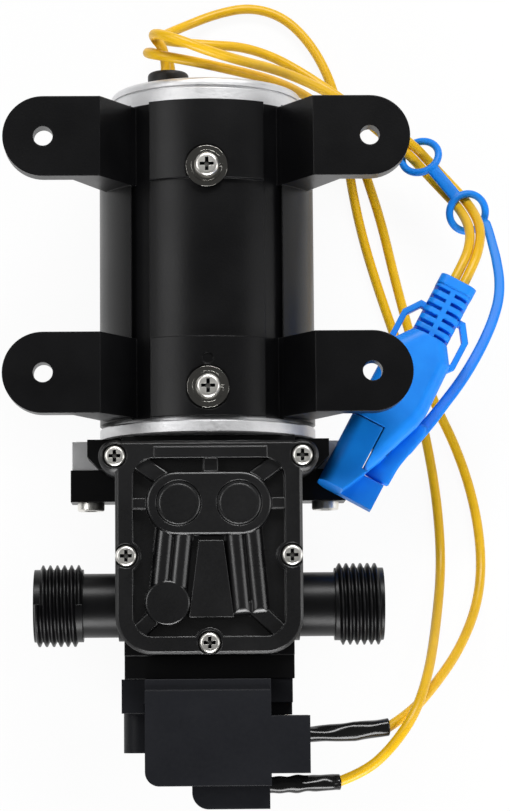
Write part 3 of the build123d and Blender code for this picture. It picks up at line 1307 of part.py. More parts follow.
upper_start = (spade_x - overrun, blade_y, wire_z)
lower_start = (arm_x1 - overrun, tail_y, wire_z)
upper_exit = (spade_x + upper_run[0], blade_y + upper_run[1], wire_z + upper_run[2])
lower_exit = (arm_x1 + lower_run[0], tail_y + lower_run[1], wire_z + lower_run[2])
upper_sleeve, upper_tail = sleeve_and_tail(upper_start, upper_exit)
lower_sleeve, lower_tail = sleeve_and_tail(lower_start, lower_exit)
node("terminal_upper", upper_terminal + upper_tail)
node("terminal_lower", lower_terminal + lower_tail)
node("shrink_sleeve_upper", upper_sleeve)
node("shrink_sleeve_lower", lower_sleeve)


def case_box(x0, x1, y0, y1, z0, z1, wall):
    """One box of the switch cover, drawn in by the wall for its hollow."""
    return block(x0 + wall, x1 - wall, y0 + wall, y1 - wall, z0 + wall, z1 - wall)


# Switch cover
case_y1 = switch_seat_y - fit_gap
case_y0 = switch_seat_y - switch_cover_len
lower_y0 = case_y0 - lower_box_depth
side_y1 = switch_seat_y - side_box_y0
side_y0 = switch_seat_y - side_box_y1
case = case_box(case_x0, case_x1, case_y0, case_y1, case_z0, case_top_z, 0)
lip_top = block(case_x0 - overrun, case_x1 + overrun, case_y1 - case_lip_len, case_y1 + overrun,
                case_top_z - case_lip_drop, case_top_z + overrun)
case = case + case_box(case_x1 - case_wall, side_box_x1, side_y0, side_y1, box_z0, case_top_z, 0)
corner = case.edges().filter_by(Axis.Z).filter_by_position(Axis.X, case_x0 - overrun, case_x0 + overrun)
case = fillet(corner.filter_by_position(Axis.Y, case_y0 - overrun, case_y0 + overrun), case_corner_r)
low_box = case_box(lower_box_x0, lower_box_x1, lower_y0, case_y0 + case_wall, box_z0, lower_box_top_z, 0)
corner = low_box.edges().filter_by(Axis.Z).filter_by_position(Axis.X, lower_box_x0 - overrun, lower_box_x0 + overrun)
low_box = fillet(corner.filter_by_position(Axis.Y, lower_y0 - overrun, lower_y0 + overrun), lower_box_corner_r)
case = case + low_box - lip_top
main_hollow = block(case_x0 + case_wall, case_x1 - case_wall, case_y0 + case_wall, case_y1 + overrun,
                    case_z0 - overrun, case_top_z - case_lip_drop - case_wall)
side_hollow = block(case_x1 - case_wall - overrun, side_box_x1 - case_wall, side_y0 + case_wall,
                    side_y1 - case_wall, box_z0 + case_wall, case_top_z - case_wall)
low_hollow = block(lower_box_x0 + case_wall, lower_box_x1 - case_wall, lower_y0 + case_wall,
                   case_y0 + case_wall + overrun, box_z0 + case_wall, lower_box_top_z - case_wall)
case = case - main_hollow - side_hollow - low_hollow
case = case - block(case_x0 - overrun, side_box_x1 + overrun, plate_y - case_notch_gap, case_y1 + overrun,
                    case_z0 - overrun, switch_z1)
case = case - straight(upper_start, upper_exit, shrink_r + sleeve_hole_gap)
case = case - straight(lower_start, lower_exit, shrink_r + sleeve_hole_gap)
node("switch_cover", case)

# Switch screws
tower_screw_len = tower_len + switch_plate_t - switch_head_sink + switch_screw_grip - overrun
column_screw_len = right_column_len + switch_screw_grip - overrun
for name, length, seat, places in (
        ("switch_long_screws", tower_screw_len, tower_end_y + switch_head_sink, switch_screw_places[:2]),
        ("switch_short_screws", column_screw_len, switch_seat_y - right_column_len, switch_screw_places[2:])):
    screw = Rot(90, 0, 0) * pan_screw(switch_screw_r, length, switch_head_r, switch_head_h)
    node(name, *[Pos(x, seat, z) * screw for x, z in places])

# Fuse holder: built in its own frame, with v counted from the collar, then put in place
holder_turned = Pos(holder_x, holder_y, holder_mid_z) * Rot(0, 0, holder_turn) * Rot(-holder_tilt, 0, 0)
holder_place = holder_turned * Pos(0, 0, -holder_mid_z)


def holder_block(u0, u1, v0, v1, thick):
    """A block in the holder's frame, centred on its middle height."""
    return block(u0, u1, -v1, -v0, holder_mid_z - thick / 2, holder_mid_z + thick / 2)


def holder_prism(points, z0, z1):
    return prism_z([(u, -v) for u, v in points], z0, z1)


relief = holder_block(-collar_w / 2, collar_w / 2, 0, collar_len, collar_t)
relief = relief + holder_block(-relief_w / 2, relief_w / 2, collar_len, relief_len, relief_t)
relief = fillet(relief.edges().filter_by(Axis.Y), relief_corner_r)
relief_top_z = holder_mid_z + relief_t / 2
relief_low_z = holder_mid_z - relief_t / 2
for index in range(relief_slots):
    y1 = -relief_first - index * relief_pitch
    y0 = y1 - relief_slot_w
    for side in (-1, 1):
        u0 = side * relief_bridge_w / 2
        u1 = side * relief_w
        relief = relief - block(u0, u1, y0, y1, relief_top_z - relief_slot_depth, holder_z1)
        relief = relief - block(u0, u1, y0, y1, holder_z0, relief_low_z + relief_slot_depth)
        relief = relief - block(side * (relief_w / 2 - relief_notch), u1, y0, y1, holder_z0, holder_z1)
body_v0 = relief_len
body_outline = [(-holder_neck_half, body_v0), (holder_neck_half, body_v0), (holder_wide_right, shoulder_end)]
body_outline = body_outline + hump_points + [(seam_u, seam_v[1]), (seam_u, seam_v[0]),
                                             (-holder_wide_left, seam_v[0]), (-holder_wide_left, shoulder_end)]
holder_body = holder_prism(body_outline, holder_z0, holder_z1)
top_bottom = edges_at(holder_body, Axis.Z, holder_z0) + edges_at(holder_body, Axis.Z, holder_z1)
outer_edges = ShapeList([e for e in top_bottom if (e @ 0.5).Y < -body_v0 - fit_gap and
                         ((e @ 0.5).Y > -seam_v[0] + overrun or (e @ 0.5).X > seam_u + fit_gap) and
                         (e @ 0.5).Y > -seam_v[1] + fit_gap])
holder_body = fillet(outer_edges, holder_edge_r)
loops = None
for side in (-1, 1):
    mid_u = side * (relief_w / 2 - loop_foot)
    foot_u = side * (holder_neck_half + holder_wide_right) / 2
    points = [(mid_u, loop_v[0]), (mid_u + side * loop_bar, loop_v[0]), (side * loop_out, loop_v[1]),
              (side * loop_out, loop_v[2]), (foot_u, loop_v[3])]
    path = Polyline(*[(u, -v) for u, v in points])
    bar = Pos(0, 0, holder_mid_z - loop_z / 2) * extrude(trace(path, loop_bar), loop_z)
    loops = bar if loops is None else loops + bar
holder_body = holder_body + loops
cavity = holder_block(-cavity_half_w, cavity_half_w, cavity_v[0], cavity_v[1], cavity_t)
wire_ducts = None
for side in (-1, 1):
    duct = rod_y(duct_r, -cavity_v[0] - overrun, overrun, side * duct_u, holder_mid_z)
    wire_ducts = duct if wire_ducts is None else wire_ducts + duct
node("fuse_strain_relief", holder_place * (relief - wire_ducts - holder_body))
node("fuse_holder_body", holder_place * (holder_body - cavity - wire_ducts))

# The holder's cap with its skirt, the fuse and its two contacts
end_half = holder_wide_left - cap_draw_in
skirt_v0 = seam_v[1] + seam_gap
cap_outline = [(-holder_wide_left, seam_v[0] + seam_gap), (seam_u - seam_gap, seam_v[0] + seam_gap),
               (seam_u - seam_gap, skirt_v0), (hump_points[-1][0], skirt_v0),
               (holder_end_u, holder_len), (-end_half, holder_len)]
fuse_cap = holder_prism(cap_outline, holder_z0, holder_z1)
edges = edges_at(fuse_cap, Axis.Z, holder_z0) + edges_at(fuse_cap, Axis.Z, holder_z1)
outer_edges = ShapeList([e for e in edges if (e @ 0.5).X < -end_half + fit_gap])
fuse_cap = fillet(outer_edges, holder_edge_r)
skirt_low = holder_prism([(holder_end_u - overrun, skirt_v0), (skirt_u, skirt_v0), (skirt_u, holder_len),
                          (holder_end_u - overrun, holder_len)], holder_z0, holder_z0 + skirt_t)
fuse_cap = fuse_cap + skirt_low
cap_hollow = holder_block(-cavity_half_w, cavity_half_w, seam_v[0] - overrun, cavity_v[1] + seam_gap, cavity_t)
node("fuse_cap", holder_place * (fuse_cap - cap_hollow))
fuse = holder_block(-fuse_half_w, fuse_half_w, fuse_head_v[0], fuse_head_v[1], fuse_t)
contacts = []
for side in (-1, 1):
    u = side * fuse_blade_u
    blade = holder_block(u - fuse_blade_w / 2, u + fuse_blade_w / 2, fuse_head_v[0] - fuse_blade_len,
                         fuse_head_v[0] + overrun, fuse_blade_t)
    fuse = fuse + blade
    contact = holder_block(u - contact_w / 2, u + contact_w / 2, cavity_v[0] + fit_gap,
                           cavity_v[0] + fit_gap + contact_len, contact_t)
    slit = holder_block(u - contact_w, u + contact_w, fuse_head_v[0] - fuse_blade_len - overrun,
                        fuse_head_v[1], fuse_blade_t + contact_slit_gap)
    contact = contact - slit
    tail = rod_y(duct_r - fit_gap, -cavity_v[0] - overrun, -wire_gap, side * duct_u, holder_mid_z)
    contacts.append(holder_place * (contact + tail))
node("fuse_contacts", *contacts)
node("blade_fuse", holder_place * fuse)

# Cap strap with its two rings and the link between them
flare_in = [(u + flare_gap, v) for u, v in hump_points]
flare_z0 = holder_z0 + fit_gap
flare = holder_place * holder_prism(flare_in[:-1] + [(flare_in[-1][0], flare_out[0][1])] + flare_out, flare_z0,
                                    flare_z0 + flare_t)
fall = math.radians(strap_fall)
strap_path = FilletPolyline(*[(x, y / math.cos(fall)) for x, y in strap_route], radius=strap_bend_r)
ribbon = Pos(0, 0, -strap_t / 2) * extrude(trace(strap_path, strap_w), strap_t)
strap = Pos(0, 0, strap_z) * Rot(-strap_fall, 0, 0) * ribbon
strap = strap + flare
(x1, y1), (x2, y2) = ring_places
heading = math.degrees(math.atan2(y2 - y1, x2 - x1))
near_ends = []
for (x, y), z, tilt, side in zip(ring_places, ring_zs, ring_tilts, (1, -1)):
    strap = strap + Pos(x, y, z) * Rot(0, 0, heading) * Rot(0, -side * tilt, 0) * Torus(ring_r, ring_bar_r)
    reach = side * ring_r * math.cos(math.radians(tilt))
    turn = math.radians(heading)
    near_ends.append((x + reach * math.cos(turn), y + reach * math.sin(turn),
                      z + ring_r * math.sin(math.radians(tilt))))
low_end, high_end = near_ends
span = math.dist(low_end, high_end)
rise = math.degrees(math.asin((high_end[2] - low_end[2]) / span))
middle = [(a + b) / 2 for a, b in zip(low_end, high_end)]
strap = strap + Pos(*middle) * Rot(0, 0, heading) * Rot(0, -rise, 0) * Box(span, link_w, link_t)
node("cap_strap", strap)


def cord(name, route, limp_r):
    """A wire along its route, with the widest bends that its runs allow."""
    radii = []
    for before, here, after in zip(route, route[1:], route[2:]):
        a = [h - b for h, b in zip(here, before)]
        c = [n - h for n, h in zip(after, here)]
        len_a = math.hypot(*a)
        len_c = math.hypot(*c)
        turn = math.acos(sum(p * q for p, q in zip(a, c)) / (len_a * len_c))
        radii.append(bend_share * min(len_a, len_c) / math.tan(turn / 2))
    low = [(index + 2, round(r, 1)) for index, r in enumerate(radii) if r < limp_r]
    path = FilletPolyline(*route, radius=radii)
    start = Plane(origin=path @ 0, z_dir=path % 0)
    tube = sweep(start * Circle(wire_r), path=path)
    expected = math.pi * wire_r ** 2 * path.length
    print(name, "length", round(path.length, 1), "volume share", round(tube.volume / expected, 4), "bends under",
          limp_r, low)
    node(name, tube)


cord("holder_wire", holder_wire_route, wire_d * limp_factor)
cord("motor_wire", motor_wire_route + [upper_exit], wire_d * limp_factor)
cord("switch_wire", [lower_exit] + switch_wire_route, wire_d * limp_factor)
print(len(nodes), "nodes")
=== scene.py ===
# %% [markdown]
# A small diaphragm pump that lies on its back, with its mounting ears towards us.
# The solids come packed in one frame, in metres, so every piece made here sits where
# the solids say. This file gives them their finishes and adds what solids cannot show
# well: smooth cords, shrunk sleeves and softly rounded mouldings.

# %% Load the frame
import math

import bmesh
import bpy
import numpy as np
from mathutils import Matrix, Vector


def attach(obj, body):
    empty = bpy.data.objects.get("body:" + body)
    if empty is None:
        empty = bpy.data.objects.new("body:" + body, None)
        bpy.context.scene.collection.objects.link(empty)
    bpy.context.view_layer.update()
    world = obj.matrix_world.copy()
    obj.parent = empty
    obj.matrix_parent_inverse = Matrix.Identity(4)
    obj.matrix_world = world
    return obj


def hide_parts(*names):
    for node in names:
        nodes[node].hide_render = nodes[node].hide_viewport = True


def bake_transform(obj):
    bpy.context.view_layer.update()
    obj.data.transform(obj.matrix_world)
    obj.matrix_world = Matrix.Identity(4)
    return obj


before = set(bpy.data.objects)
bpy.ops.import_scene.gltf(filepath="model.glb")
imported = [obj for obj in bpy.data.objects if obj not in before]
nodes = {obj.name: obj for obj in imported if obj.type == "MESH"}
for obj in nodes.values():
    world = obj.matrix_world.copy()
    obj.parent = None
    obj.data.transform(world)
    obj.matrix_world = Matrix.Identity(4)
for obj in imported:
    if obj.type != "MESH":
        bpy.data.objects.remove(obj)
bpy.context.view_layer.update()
MM = 0.001

# %% [markdown]
# The camera was fitted to the ear holes, the ports and the end cap. It hangs about
# 0.7 m above the bench and leans a few degrees towards the switch end, so the focal
# length in pixels becomes a lens in millimetres over the long side of the picture.

# %% Camera
PICTURE = (510, 811)
FOCAL_PIXELS = 2702.27
EYE = Vector((-3.30, -68.80, 733.60)) * MM
PITCH, YAW, ROLL = -0.1101, 0.0223, 0.0084


def turn(axis, angle):
    return Matrix.Rotation(angle, 3, axis)


camera_data = bpy.data.cameras.new("camera")
camera_data.sensor_width = 36.0
camera_data.lens = FOCAL_PIXELS * camera_data.sensor_width / max(PICTURE)
camera = bpy.data.objects.new("camera", camera_data)
bpy.context.scene.collection.objects.link(camera)
world_to_eye = turn("Z", ROLL) @ turn("X", PITCH) @ turn("Y", YAW)
camera.matrix_world = Matrix.Translation(EYE) @ world_to_eye.transposed().to_4x4()
camera_data.clip_start = 0.01
bpy.context.scene.camera = camera
print("camera lens in mm", round(camera_data.lens, 2))
print("lens", round(camera_data.lens, 2))

# %% [markdown]
# Three single wires with soft yellow insulation. One runs from the motor to the fuse
# holder, one from the motor to the switch, and one from the switch back to the holder.
# Each is a smooth spline through listed control points, and the round section
# comes from the curve's own bevel, which keeps the tube even round every bend.

# %% Cords
WIRE_R = 1.3 * MM
UPPER_SLEEVE = ((22.2, -76.68, 44.85), (45.4, -75.2, 41.25))
LOWER_SLEEVE = ((13.8, -89.19, 44.83), (32.8, -88.65, 41.68))
holder_route = [
    (-10.4, 94.85, 44.0), (-10.4, 100.6, 44.0), (-14.0, 103.6, 48.4), (-12.4, 102.6, 54.4),
    (-6.6, 100.0, 57.6), (0.4, 97.6, 56.0), (9.0, 96.5, 49.5), (18.49, 96.71, 38.86),
    (27.32, 95.22, 30.22), (34.73, 92.8, 23.77), (41.68, 89.68, 19.17), (48.73, 86.11, 16.6),
    (55.81, 81.39, 16.5), (61.13, 76.38, 13.6), (66.24, 70.87, 13.5), (70.97, 64.61, 16.66),
    (73.28, 57.1, 24.09), (71.97, 50.07, 29.1), (69.44, 44.18, 32.05), (66.95, 39.61, 33.0)]
motor_route = [
    (-9.2, 94.85, 41.2), (-9.2, 99.3, 41.2), (-14.2, 100.6, 42.4), (-15.6, 98.8, 48.6),
    (-9.8, 96.8, 52.8), (-2.0, 95.6, 51.6), (7.0, 95.0, 45.4), (16.0, 95.2, 35.4), (24.4, 94.6, 24.0),
    (31.6, 92.2, 13.8), (37.4, 87.9, 7.0), (42.0, 81.8, 2.8), (44.8, 73.6, 1.5), (48.2, 62.4, 1.6),
    (51.6, 47.0, 1.5), (56.0, 29.6, 1.6), (61.4, 13.8, 1.5), (68.2, -0.6, 1.6), (72.6, -15.4, 1.5),
    (74.2, -30.0, 2.4), (72.2, -42.6, 8.6), (66.2, -54.8, 19.0), (58.2, -64.6, 30.0),
    (51.2, -71.6, 37.8), (44.7, -75.3, 41.4)]
switch_route = [
    (32.0, -88.7, 41.8), (39.0, -86.3, 42.8), (46.0, -80.2, 43.8), (52.4, -71.4, 42.4),
    (56.9, -60.5, 32.4), (60.5, -46.6, 15.8), (63.0, -32.2, 3.6), (62.6, -17.4, 1.5),
    (60.6, -2.4, 1.6), (57.4, 13.0, 1.5), (52.2, 28.6, 1.6), (47.2, 43.6, 1.5), (43.2, 57.2, 1.6),
    (40.4, 70.6, 1.5), (38.8, 82.6, 1.6), (36.8, 94.4, 1.5), (33.8, 104.4, 1.6), (28.8, 113.4, 1.5),
    (21.8, 120.4, 1.6), (12.8, 123.2, 1.5), (3.4, 121.4, 1.6), (-6.2, 117.0, 3.8),
    (-13.4, 111.8, 11.8), (-9.4, 108.6, 21.0), (0.6, 107.8, 20.8), (9.98, 108.18, 17.1),
    (18.49, 106.1, 14.09), (25.92, 102.18, 13.04), (32.53, 97.42, 14.25), (38.35, 92.87, 15.81),
    (43.42, 88.38, 14.39), (48.54, 83.85, 14.0), (53.94, 79.37, 16.7), (59.26, 74.31, 13.6),
    (64.08, 69.0, 13.5), (68.5, 63.03, 17.77), (70.31, 56.2, 25.34), (69.29, 50.27, 29.68),
    (67.01, 45.33, 32.1), (64.58, 40.9, 33.0)]


def cord_curve(name, route):
    """A round tube along one smooth NURBS spline whose control points are the route's.

    Each point's radius times the bevel depth of 1 is the tube's radius.
    """
    data = bpy.data.curves.new(name, "CURVE")
    data.dimensions = "3D"
    data.bevel_depth = 1.0
    data.bevel_resolution = 5
    data.resolution_u = 10
    data.use_fill_caps = True
    spline = data.splines.new("NURBS")
    spline.points.add(len(route) - 1)
    flat = np.c_[np.array(route) * MM, np.ones(len(route))].ravel()
    spline.points.foreach_set("co", flat)
    spline.points.foreach_set("radius", np.full(len(route), WIRE_R))
    spline.order_u = 3
    spline.use_endpoint_u = True
    spline.use_smooth = True
    curve = bpy.data.objects.new(name, data)
    bpy.context.scene.collection.objects.link(curve)
    return curve


holder_cord = cord_curve("wire_motor_to_holder", holder_route)
motor_cord = cord_curve("wire_motor_to_switch", motor_route)
switch_cord = cord_curve("wire_switch_to_holder", switch_route)
for cord, route, node, length in (
        (holder_cord, holder_route, "holder_wire", 0.1597),
        (motor_cord, motor_route, "motor_wire", 0.2844),
        (switch_cord, switch_route, "switch_wire", 0.4175)):
    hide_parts(node)
    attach(cord, "pump")
print("cords", holder_cord.name, motor_cord.name, switch_cord.name)

# %% [markdown]
# Two shrink sleeves cover the crimped ends of the wires. The real ones are thin glossy
# tube, shrunk by hand with a hot gun: they neck in at the cover, swell over the crimp
# and stay slightly wavy. One surface makes each. It runs along the outside, rolls over
# the cut end and comes back inside, so that the tube has a wall and is closed.

# %% Shrink sleeves


def surface_mesh(name, points):
    """A closed mesh from a grid of points that wraps round in both directions."""
    rows, columns = points.shape[:2]
    index = np.arange(rows * columns).reshape(rows, columns)
    down = np.roll(index, -1, axis=0)
    faces = np.stack([index, np.roll(index, -1, axis=1), np.roll(down, -1, axis=1), down], axis=-1)
    mesh = bpy.data.meshes.new(name)
    mesh.from_pydata(points.reshape(-1, 3), [], faces.reshape(-1, 4))
    mesh.polygons.foreach_set("use_smooth", np.ones(len(mesh.polygons), dtype=bool))
    piece = bpy.data.objects.new(name, mesh)
    bpy.context.scene.collection.objects.link(piece)
    return piece


SLEEVE_WALL, SLEEVE_BORE, LIP_ROLL = 0.45 * MM, 1.38 * MM, 0.12 * MM
OUTSIDE_SHARE, LIP_SHARE = 0.56, 0.04
LOBES = (2, 3, 2)


def shrunk_sleeve(name, start, end, swell, sway, seed):
    """A thin wall round a line from start to end.

    Along it the radius is the swell, a table of places and radii, plus three slow
    waves. Round it the radius has two and three lobes whose size and turn drift along
    the tube. The line itself sways sideways by a table. The rows first run along the
    outside, then roll over the cut end, and come back along the inside.
    """
    rows, columns = 120, 56
    chance = np.random.default_rng(seed)
    start, end = np.array(start) * MM, np.array(end) * MM
    along = end - start
    length = np.linalg.norm(along)
    along = along / length
    side = np.cross(along, (0.0, 0.0, 1.0))
    side = side / np.linalg.norm(side)
    up = np.cross(side, along)
    share = np.linspace(0.0, 1.0, rows, endpoint=False)
    outside = np.clip(share / OUTSIDE_SHARE, 0, 1)
    inside_share = 1 - OUTSIDE_SHARE - 2 * LIP_SHARE
    inside = np.clip((share - OUTSIDE_SHARE - LIP_SHARE) / inside_share, 0, 1)
    place = np.where(share < OUTSIDE_SHARE + LIP_SHARE / 2, outside, 1 - inside)
    rolled_in = np.clip((share - OUTSIDE_SHARE) / LIP_SHARE, 0, 1)
    rolled_out = np.clip((share - 1 + LIP_SHARE) / LIP_SHARE, 0, 1)
    is_inner = rolled_in - rolled_out
    lip = np.sin(is_inner * math.pi) * LIP_ROLL
    angle = np.linspace(0.0, math.tau, columns, endpoint=False)
    waves = sum(chance.uniform(0.02, 0.06)
                * np.sin(place * chance.uniform(9, 30) + chance.uniform(0, 6))
                for _ in range(3))
    outer_r = np.interp(place, *np.array(swell).T) + waves
    lobes = sum(chance.uniform(0.09, 0.16)
                * np.sin(place * chance.uniform(3, 11) + chance.uniform(0, 6))[:, None]
                * np.cos(k * angle[None, :] + 2.2 * np.sin(place * chance.uniform(2, 8))[:, None])
                for k in LOBES)
    outer = (outer_r[:, None] + lobes) * MM
    inner = np.minimum(np.full_like(outer, SLEEVE_BORE), outer - SLEEVE_WALL)
    radius = outer * (1 - is_inner[:, None]) + inner * is_inner[:, None]
    line = start + along * (place * length + np.where(place > 0.5, lip, -lip))[:, None]
    line = line + side * (np.interp(place, *np.array(sway).T) * MM)[:, None]
    ring = np.cos(angle)[None, :, None] * side + np.sin(angle)[None, :, None] * up
    piece = surface_mesh(name, line[:, None, :] + ring * radius[:, :, None])
    print(name, "radius", round(float(outer.min() / MM), 2), "to", round(float(outer.max() / MM), 2))
    return piece


upper_sleeve = shrunk_sleeve("sleeve_upper", UPPER_SLEEVE[0], UPPER_SLEEVE[1],
                             [(0.0, 1.95), (0.3, 2.0), (0.62, 2.45), (0.72, 2.35), (1.0, 2.2)],
                             [(0.0, 0.0), (0.65, 0.12), (1.0, -0.45)], 3)
lower_sleeve = shrunk_sleeve("sleeve_lower", LOWER_SLEEVE[0], LOWER_SLEEVE[1],
                             [(0.0, 1.95), (0.35, 2.12), (0.6, 2.0), (0.8, 2.12), (1.0, 2.02)],
                             [(0.0, 0.0), (1.0, 0.0)], 8)
for sleeve, node in ((upper_sleeve, "shrink_sleeve_upper"), (lower_sleeve, "shrink_sleeve_lower")):
    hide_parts(node)
    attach(sleeve, "pump")

# %% [markdown]
# The strap that ties the cap to the wires is one soft moulding: a thin ribbon that
# widens into a flare beside the cap, two rings round the wires and a bar between the
# rings. The ribbon and the flare are one kind of surface, a soft-cornered band between
# two edge lines.

# %% Lines and surfaces for the strap
HOLDER_TURN, HOLDER_LEAN = math.radians(-28.48), math.radians(-6.0)
CORNER_POWER, ROUNDED_SHARE = 0.6, 0.03
HOLDER_END = np.array([65.8, 40.32, 33.0])


def from_holder(across, back, up):
    """Points of the holder's own frame, in millimetres of the pump's frame."""
    own = np.stack([across, -back, up], axis=-1)
    lean = np.array(Matrix.Rotation(HOLDER_LEAN, 3, "X"))
    facing = np.array(Matrix.Rotation(HOLDER_TURN, 3, "Z"))
    return HOLDER_END + own @ (facing @ lean).T


def smooth_line(points, count):
    """A Catmull-Rom line: between neighbours, a cubic with the slopes of the chords."""
    points = np.array(points, dtype=float)
    padded = np.vstack([2 * points[0] - points[1], points, 2 * points[-1] - points[-2]])
    place = np.linspace(0, len(points) - 1, count)
    first = np.minimum(place.astype(int), len(points) - 2)
    t = (place - first)[:, None]
    a, b, c, d = (padded[first + k] for k in range(4))
    return 0.5 * (2 * b + (c - a) * t + (2 * a - 5 * b + 4 * c - d) * t ** 2
                  + (3 * b - 3 * c + d - a) * t ** 3)


def closed_grid(rows, columns, start):
    """Faces of a grid that wraps round across its columns, with its end rows as poles."""
    index = start + np.arange(rows * columns).reshape(rows, columns)
    side = np.roll(index, -1, axis=1)
    return np.stack([index[:-1], side[:-1], side[1:], index[1:]], axis=-1).reshape(-1, 4)


def band(left, right, up, thick, columns=28):
    """A soft-cornered band between two edge lines.

    The section is a superellipse: half the width times cos to the power 0.6, half the
    thickness times sin to the power 0.6. Near both ends it shrinks on a quarter circle.
    """
    rows = len(left)
    angle = np.linspace(0, math.tau, columns, endpoint=False)
    across = np.sign(np.cos(angle)) * np.abs(np.cos(angle)) ** CORNER_POWER
    high = np.sign(np.sin(angle)) * np.abs(np.sin(angle)) ** CORNER_POWER
    along = np.linspace(0, 1, rows)
    ends = np.minimum(along, 1 - along) / ROUNDED_SHARE
    size = np.sqrt(1 - (1 - np.clip(ends, 0, 1)) ** 2)[:, None, None]
    middle, half = (left + right)[:, None] / 2, (left - right)[:, None] / 2
    rise = np.array(up)[None, None, :] * thick / 2
    return middle + (half * across[None, :, None] + rise * high[None, :, None]) * size


def ring(centre, tilt, heading, radius, bar, rows=64, columns=20):
    """A torus turned by its heading about Z, after a tilt about Y."""
    big = np.linspace(0, math.tau, rows, endpoint=False)[:, None]
    small = np.linspace(0, math.tau, columns, endpoint=False)[None, :]
    out = radius + bar * np.cos(small)
    points = np.stack([out * np.cos(big), out * np.sin(big), bar * np.sin(small) + 0 * big], axis=-1)
    spin = np.array(Matrix.Rotation(heading, 3, "Z") @ Matrix.Rotation(tilt, 3, "Y"))
    return points @ spin.T + np.array(centre)


# %% [markdown]
# Seen from above, the ribbon runs through listed points, and its half width is a
# table along its rows. It lies in a plane that falls away from the cap. The flare's two
# edges are tables in the holder's own frame, smoothed by a running mean.

# %% Ribbon and flare
RIBBON = [(50.2, -4.6), (53.4, -0.9), (56.2, 2.2), (59.0, 5.4), (62.1, 9.3), (65.3, 13.4),
          (68.3, 17.7), (71.1, 22.3), (73.6, 27.0), (75.9, 32.2), (77.6, 37.8), (78.1, 43.2),
          (77.6, 48.8), (76.8, 53.1), (75.9, 57.3), (75.0, 60.5)]
RIBBON_ROWS, RIBBON_THICK = 130, 1.35
RIBBON_HALF = ([0, 14, 34, 90, 129], [1.8, 1.75, 1.5, 1.35, 1.15])
FALL, PLANE_HEIGHT = math.radians(14.5), 32.75
FLARE_FROM, FLARE_TO, FLARE_ROWS = 36.8, 56.2, 60
FLARE_INNER = ([35.5, 39.2, 44.5, 51.4, 56.3], [8.1, 7.4, 5.5, 3.3, 1.2])
FLARE_OUTER = ([36.6, 37.9, 42.4, 50.0, 55.5], [9.4, 11.1, 10.3, 8.7, 8.5])
FLARE_LEVEL, FLARE_THICK, FLARE_MEAN = -4.0, 2.3, 9
plan = smooth_line(RIBBON, RIBBON_ROWS)
heading = np.gradient(plan, axis=0)
heading = heading / np.linalg.norm(heading, axis=1)[:, None]
normal = np.stack([-heading[:, 1], heading[:, 0]], axis=-1)


def on_slope(points):
    """Lift plan points to the plane that falls away from the cap."""
    return np.c_[points, PLANE_HEIGHT - points[:, 1] * math.tan(FALL)]


wide = np.interp(np.arange(RIBBON_ROWS), *RIBBON_HALF)[:, None]
lean_up = (0.0, math.sin(FALL), math.cos(FALL))
ribbon = band(on_slope(plan + normal * wide), on_slope(plan - normal * wide), lean_up, RIBBON_THICK)
back = np.linspace(FLARE_FROM, FLARE_TO, FLARE_ROWS)
inner, outer = np.interp(back, *FLARE_INNER), np.interp(back, *FLARE_OUTER)
outer = np.convolve(np.pad(outer, FLARE_MEAN // 2, mode="edge"), np.ones(FLARE_MEAN) / FLARE_MEAN,
                    mode="valid")
level = np.full_like(back, FLARE_LEVEL)
flare_up = from_holder(0.0, 0.0, 1.0) - HOLDER_END
flare = band(from_holder(outer, back, level), from_holder(inner, back, level), flare_up, FLARE_THICK)
print("ribbon rows", len(ribbon), "flare rows", len(flare))

# %% [markdown]
# The two rings are tilted towards each other, each with its nearer rim up, and the bar
# runs between those rims. Then every surface of the strap goes into one mesh.

# %% Rings, bar and the whole strap
RING_R, RING_THICK_R = 5.05, 1.0
BAR_HALF, BAR_THICK, BAR_ROWS = 1.6, 1.4, 24
RINGS = [((57.98, 77.95, 15.7), 30.0, 1), ((70.37, 62.4, 17.0), 20.0, -1)]
(far, far_tilt, _), (near, near_tilt, _) = RINGS
ring_heading = math.atan2(near[1] - far[1], near[0] - far[0])
rings = [ring(far, math.radians(-far_tilt), ring_heading, RING_R, RING_THICK_R),
         ring(near, math.radians(near_tilt), ring_heading, RING_R, RING_THICK_R)]
rims = []
for (x, y, z), tilt, side in RINGS:
    reach = side * RING_R * math.cos(math.radians(tilt))
    rims.append((x + reach * math.cos(ring_heading), y + reach * math.sin(ring_heading),
                 z + RING_R * math.sin(math.radians(tilt))))
bar_line = np.linspace(rims[0], rims[1], BAR_ROWS)
sideways = np.array([-math.sin(ring_heading), math.cos(ring_heading), 0.0]) * BAR_HALF
bar_up = np.cross(rims[1] - bar_line[0], sideways)
link = band(bar_line + sideways, bar_line - sideways, bar_up / np.linalg.norm(bar_up), BAR_THICK)


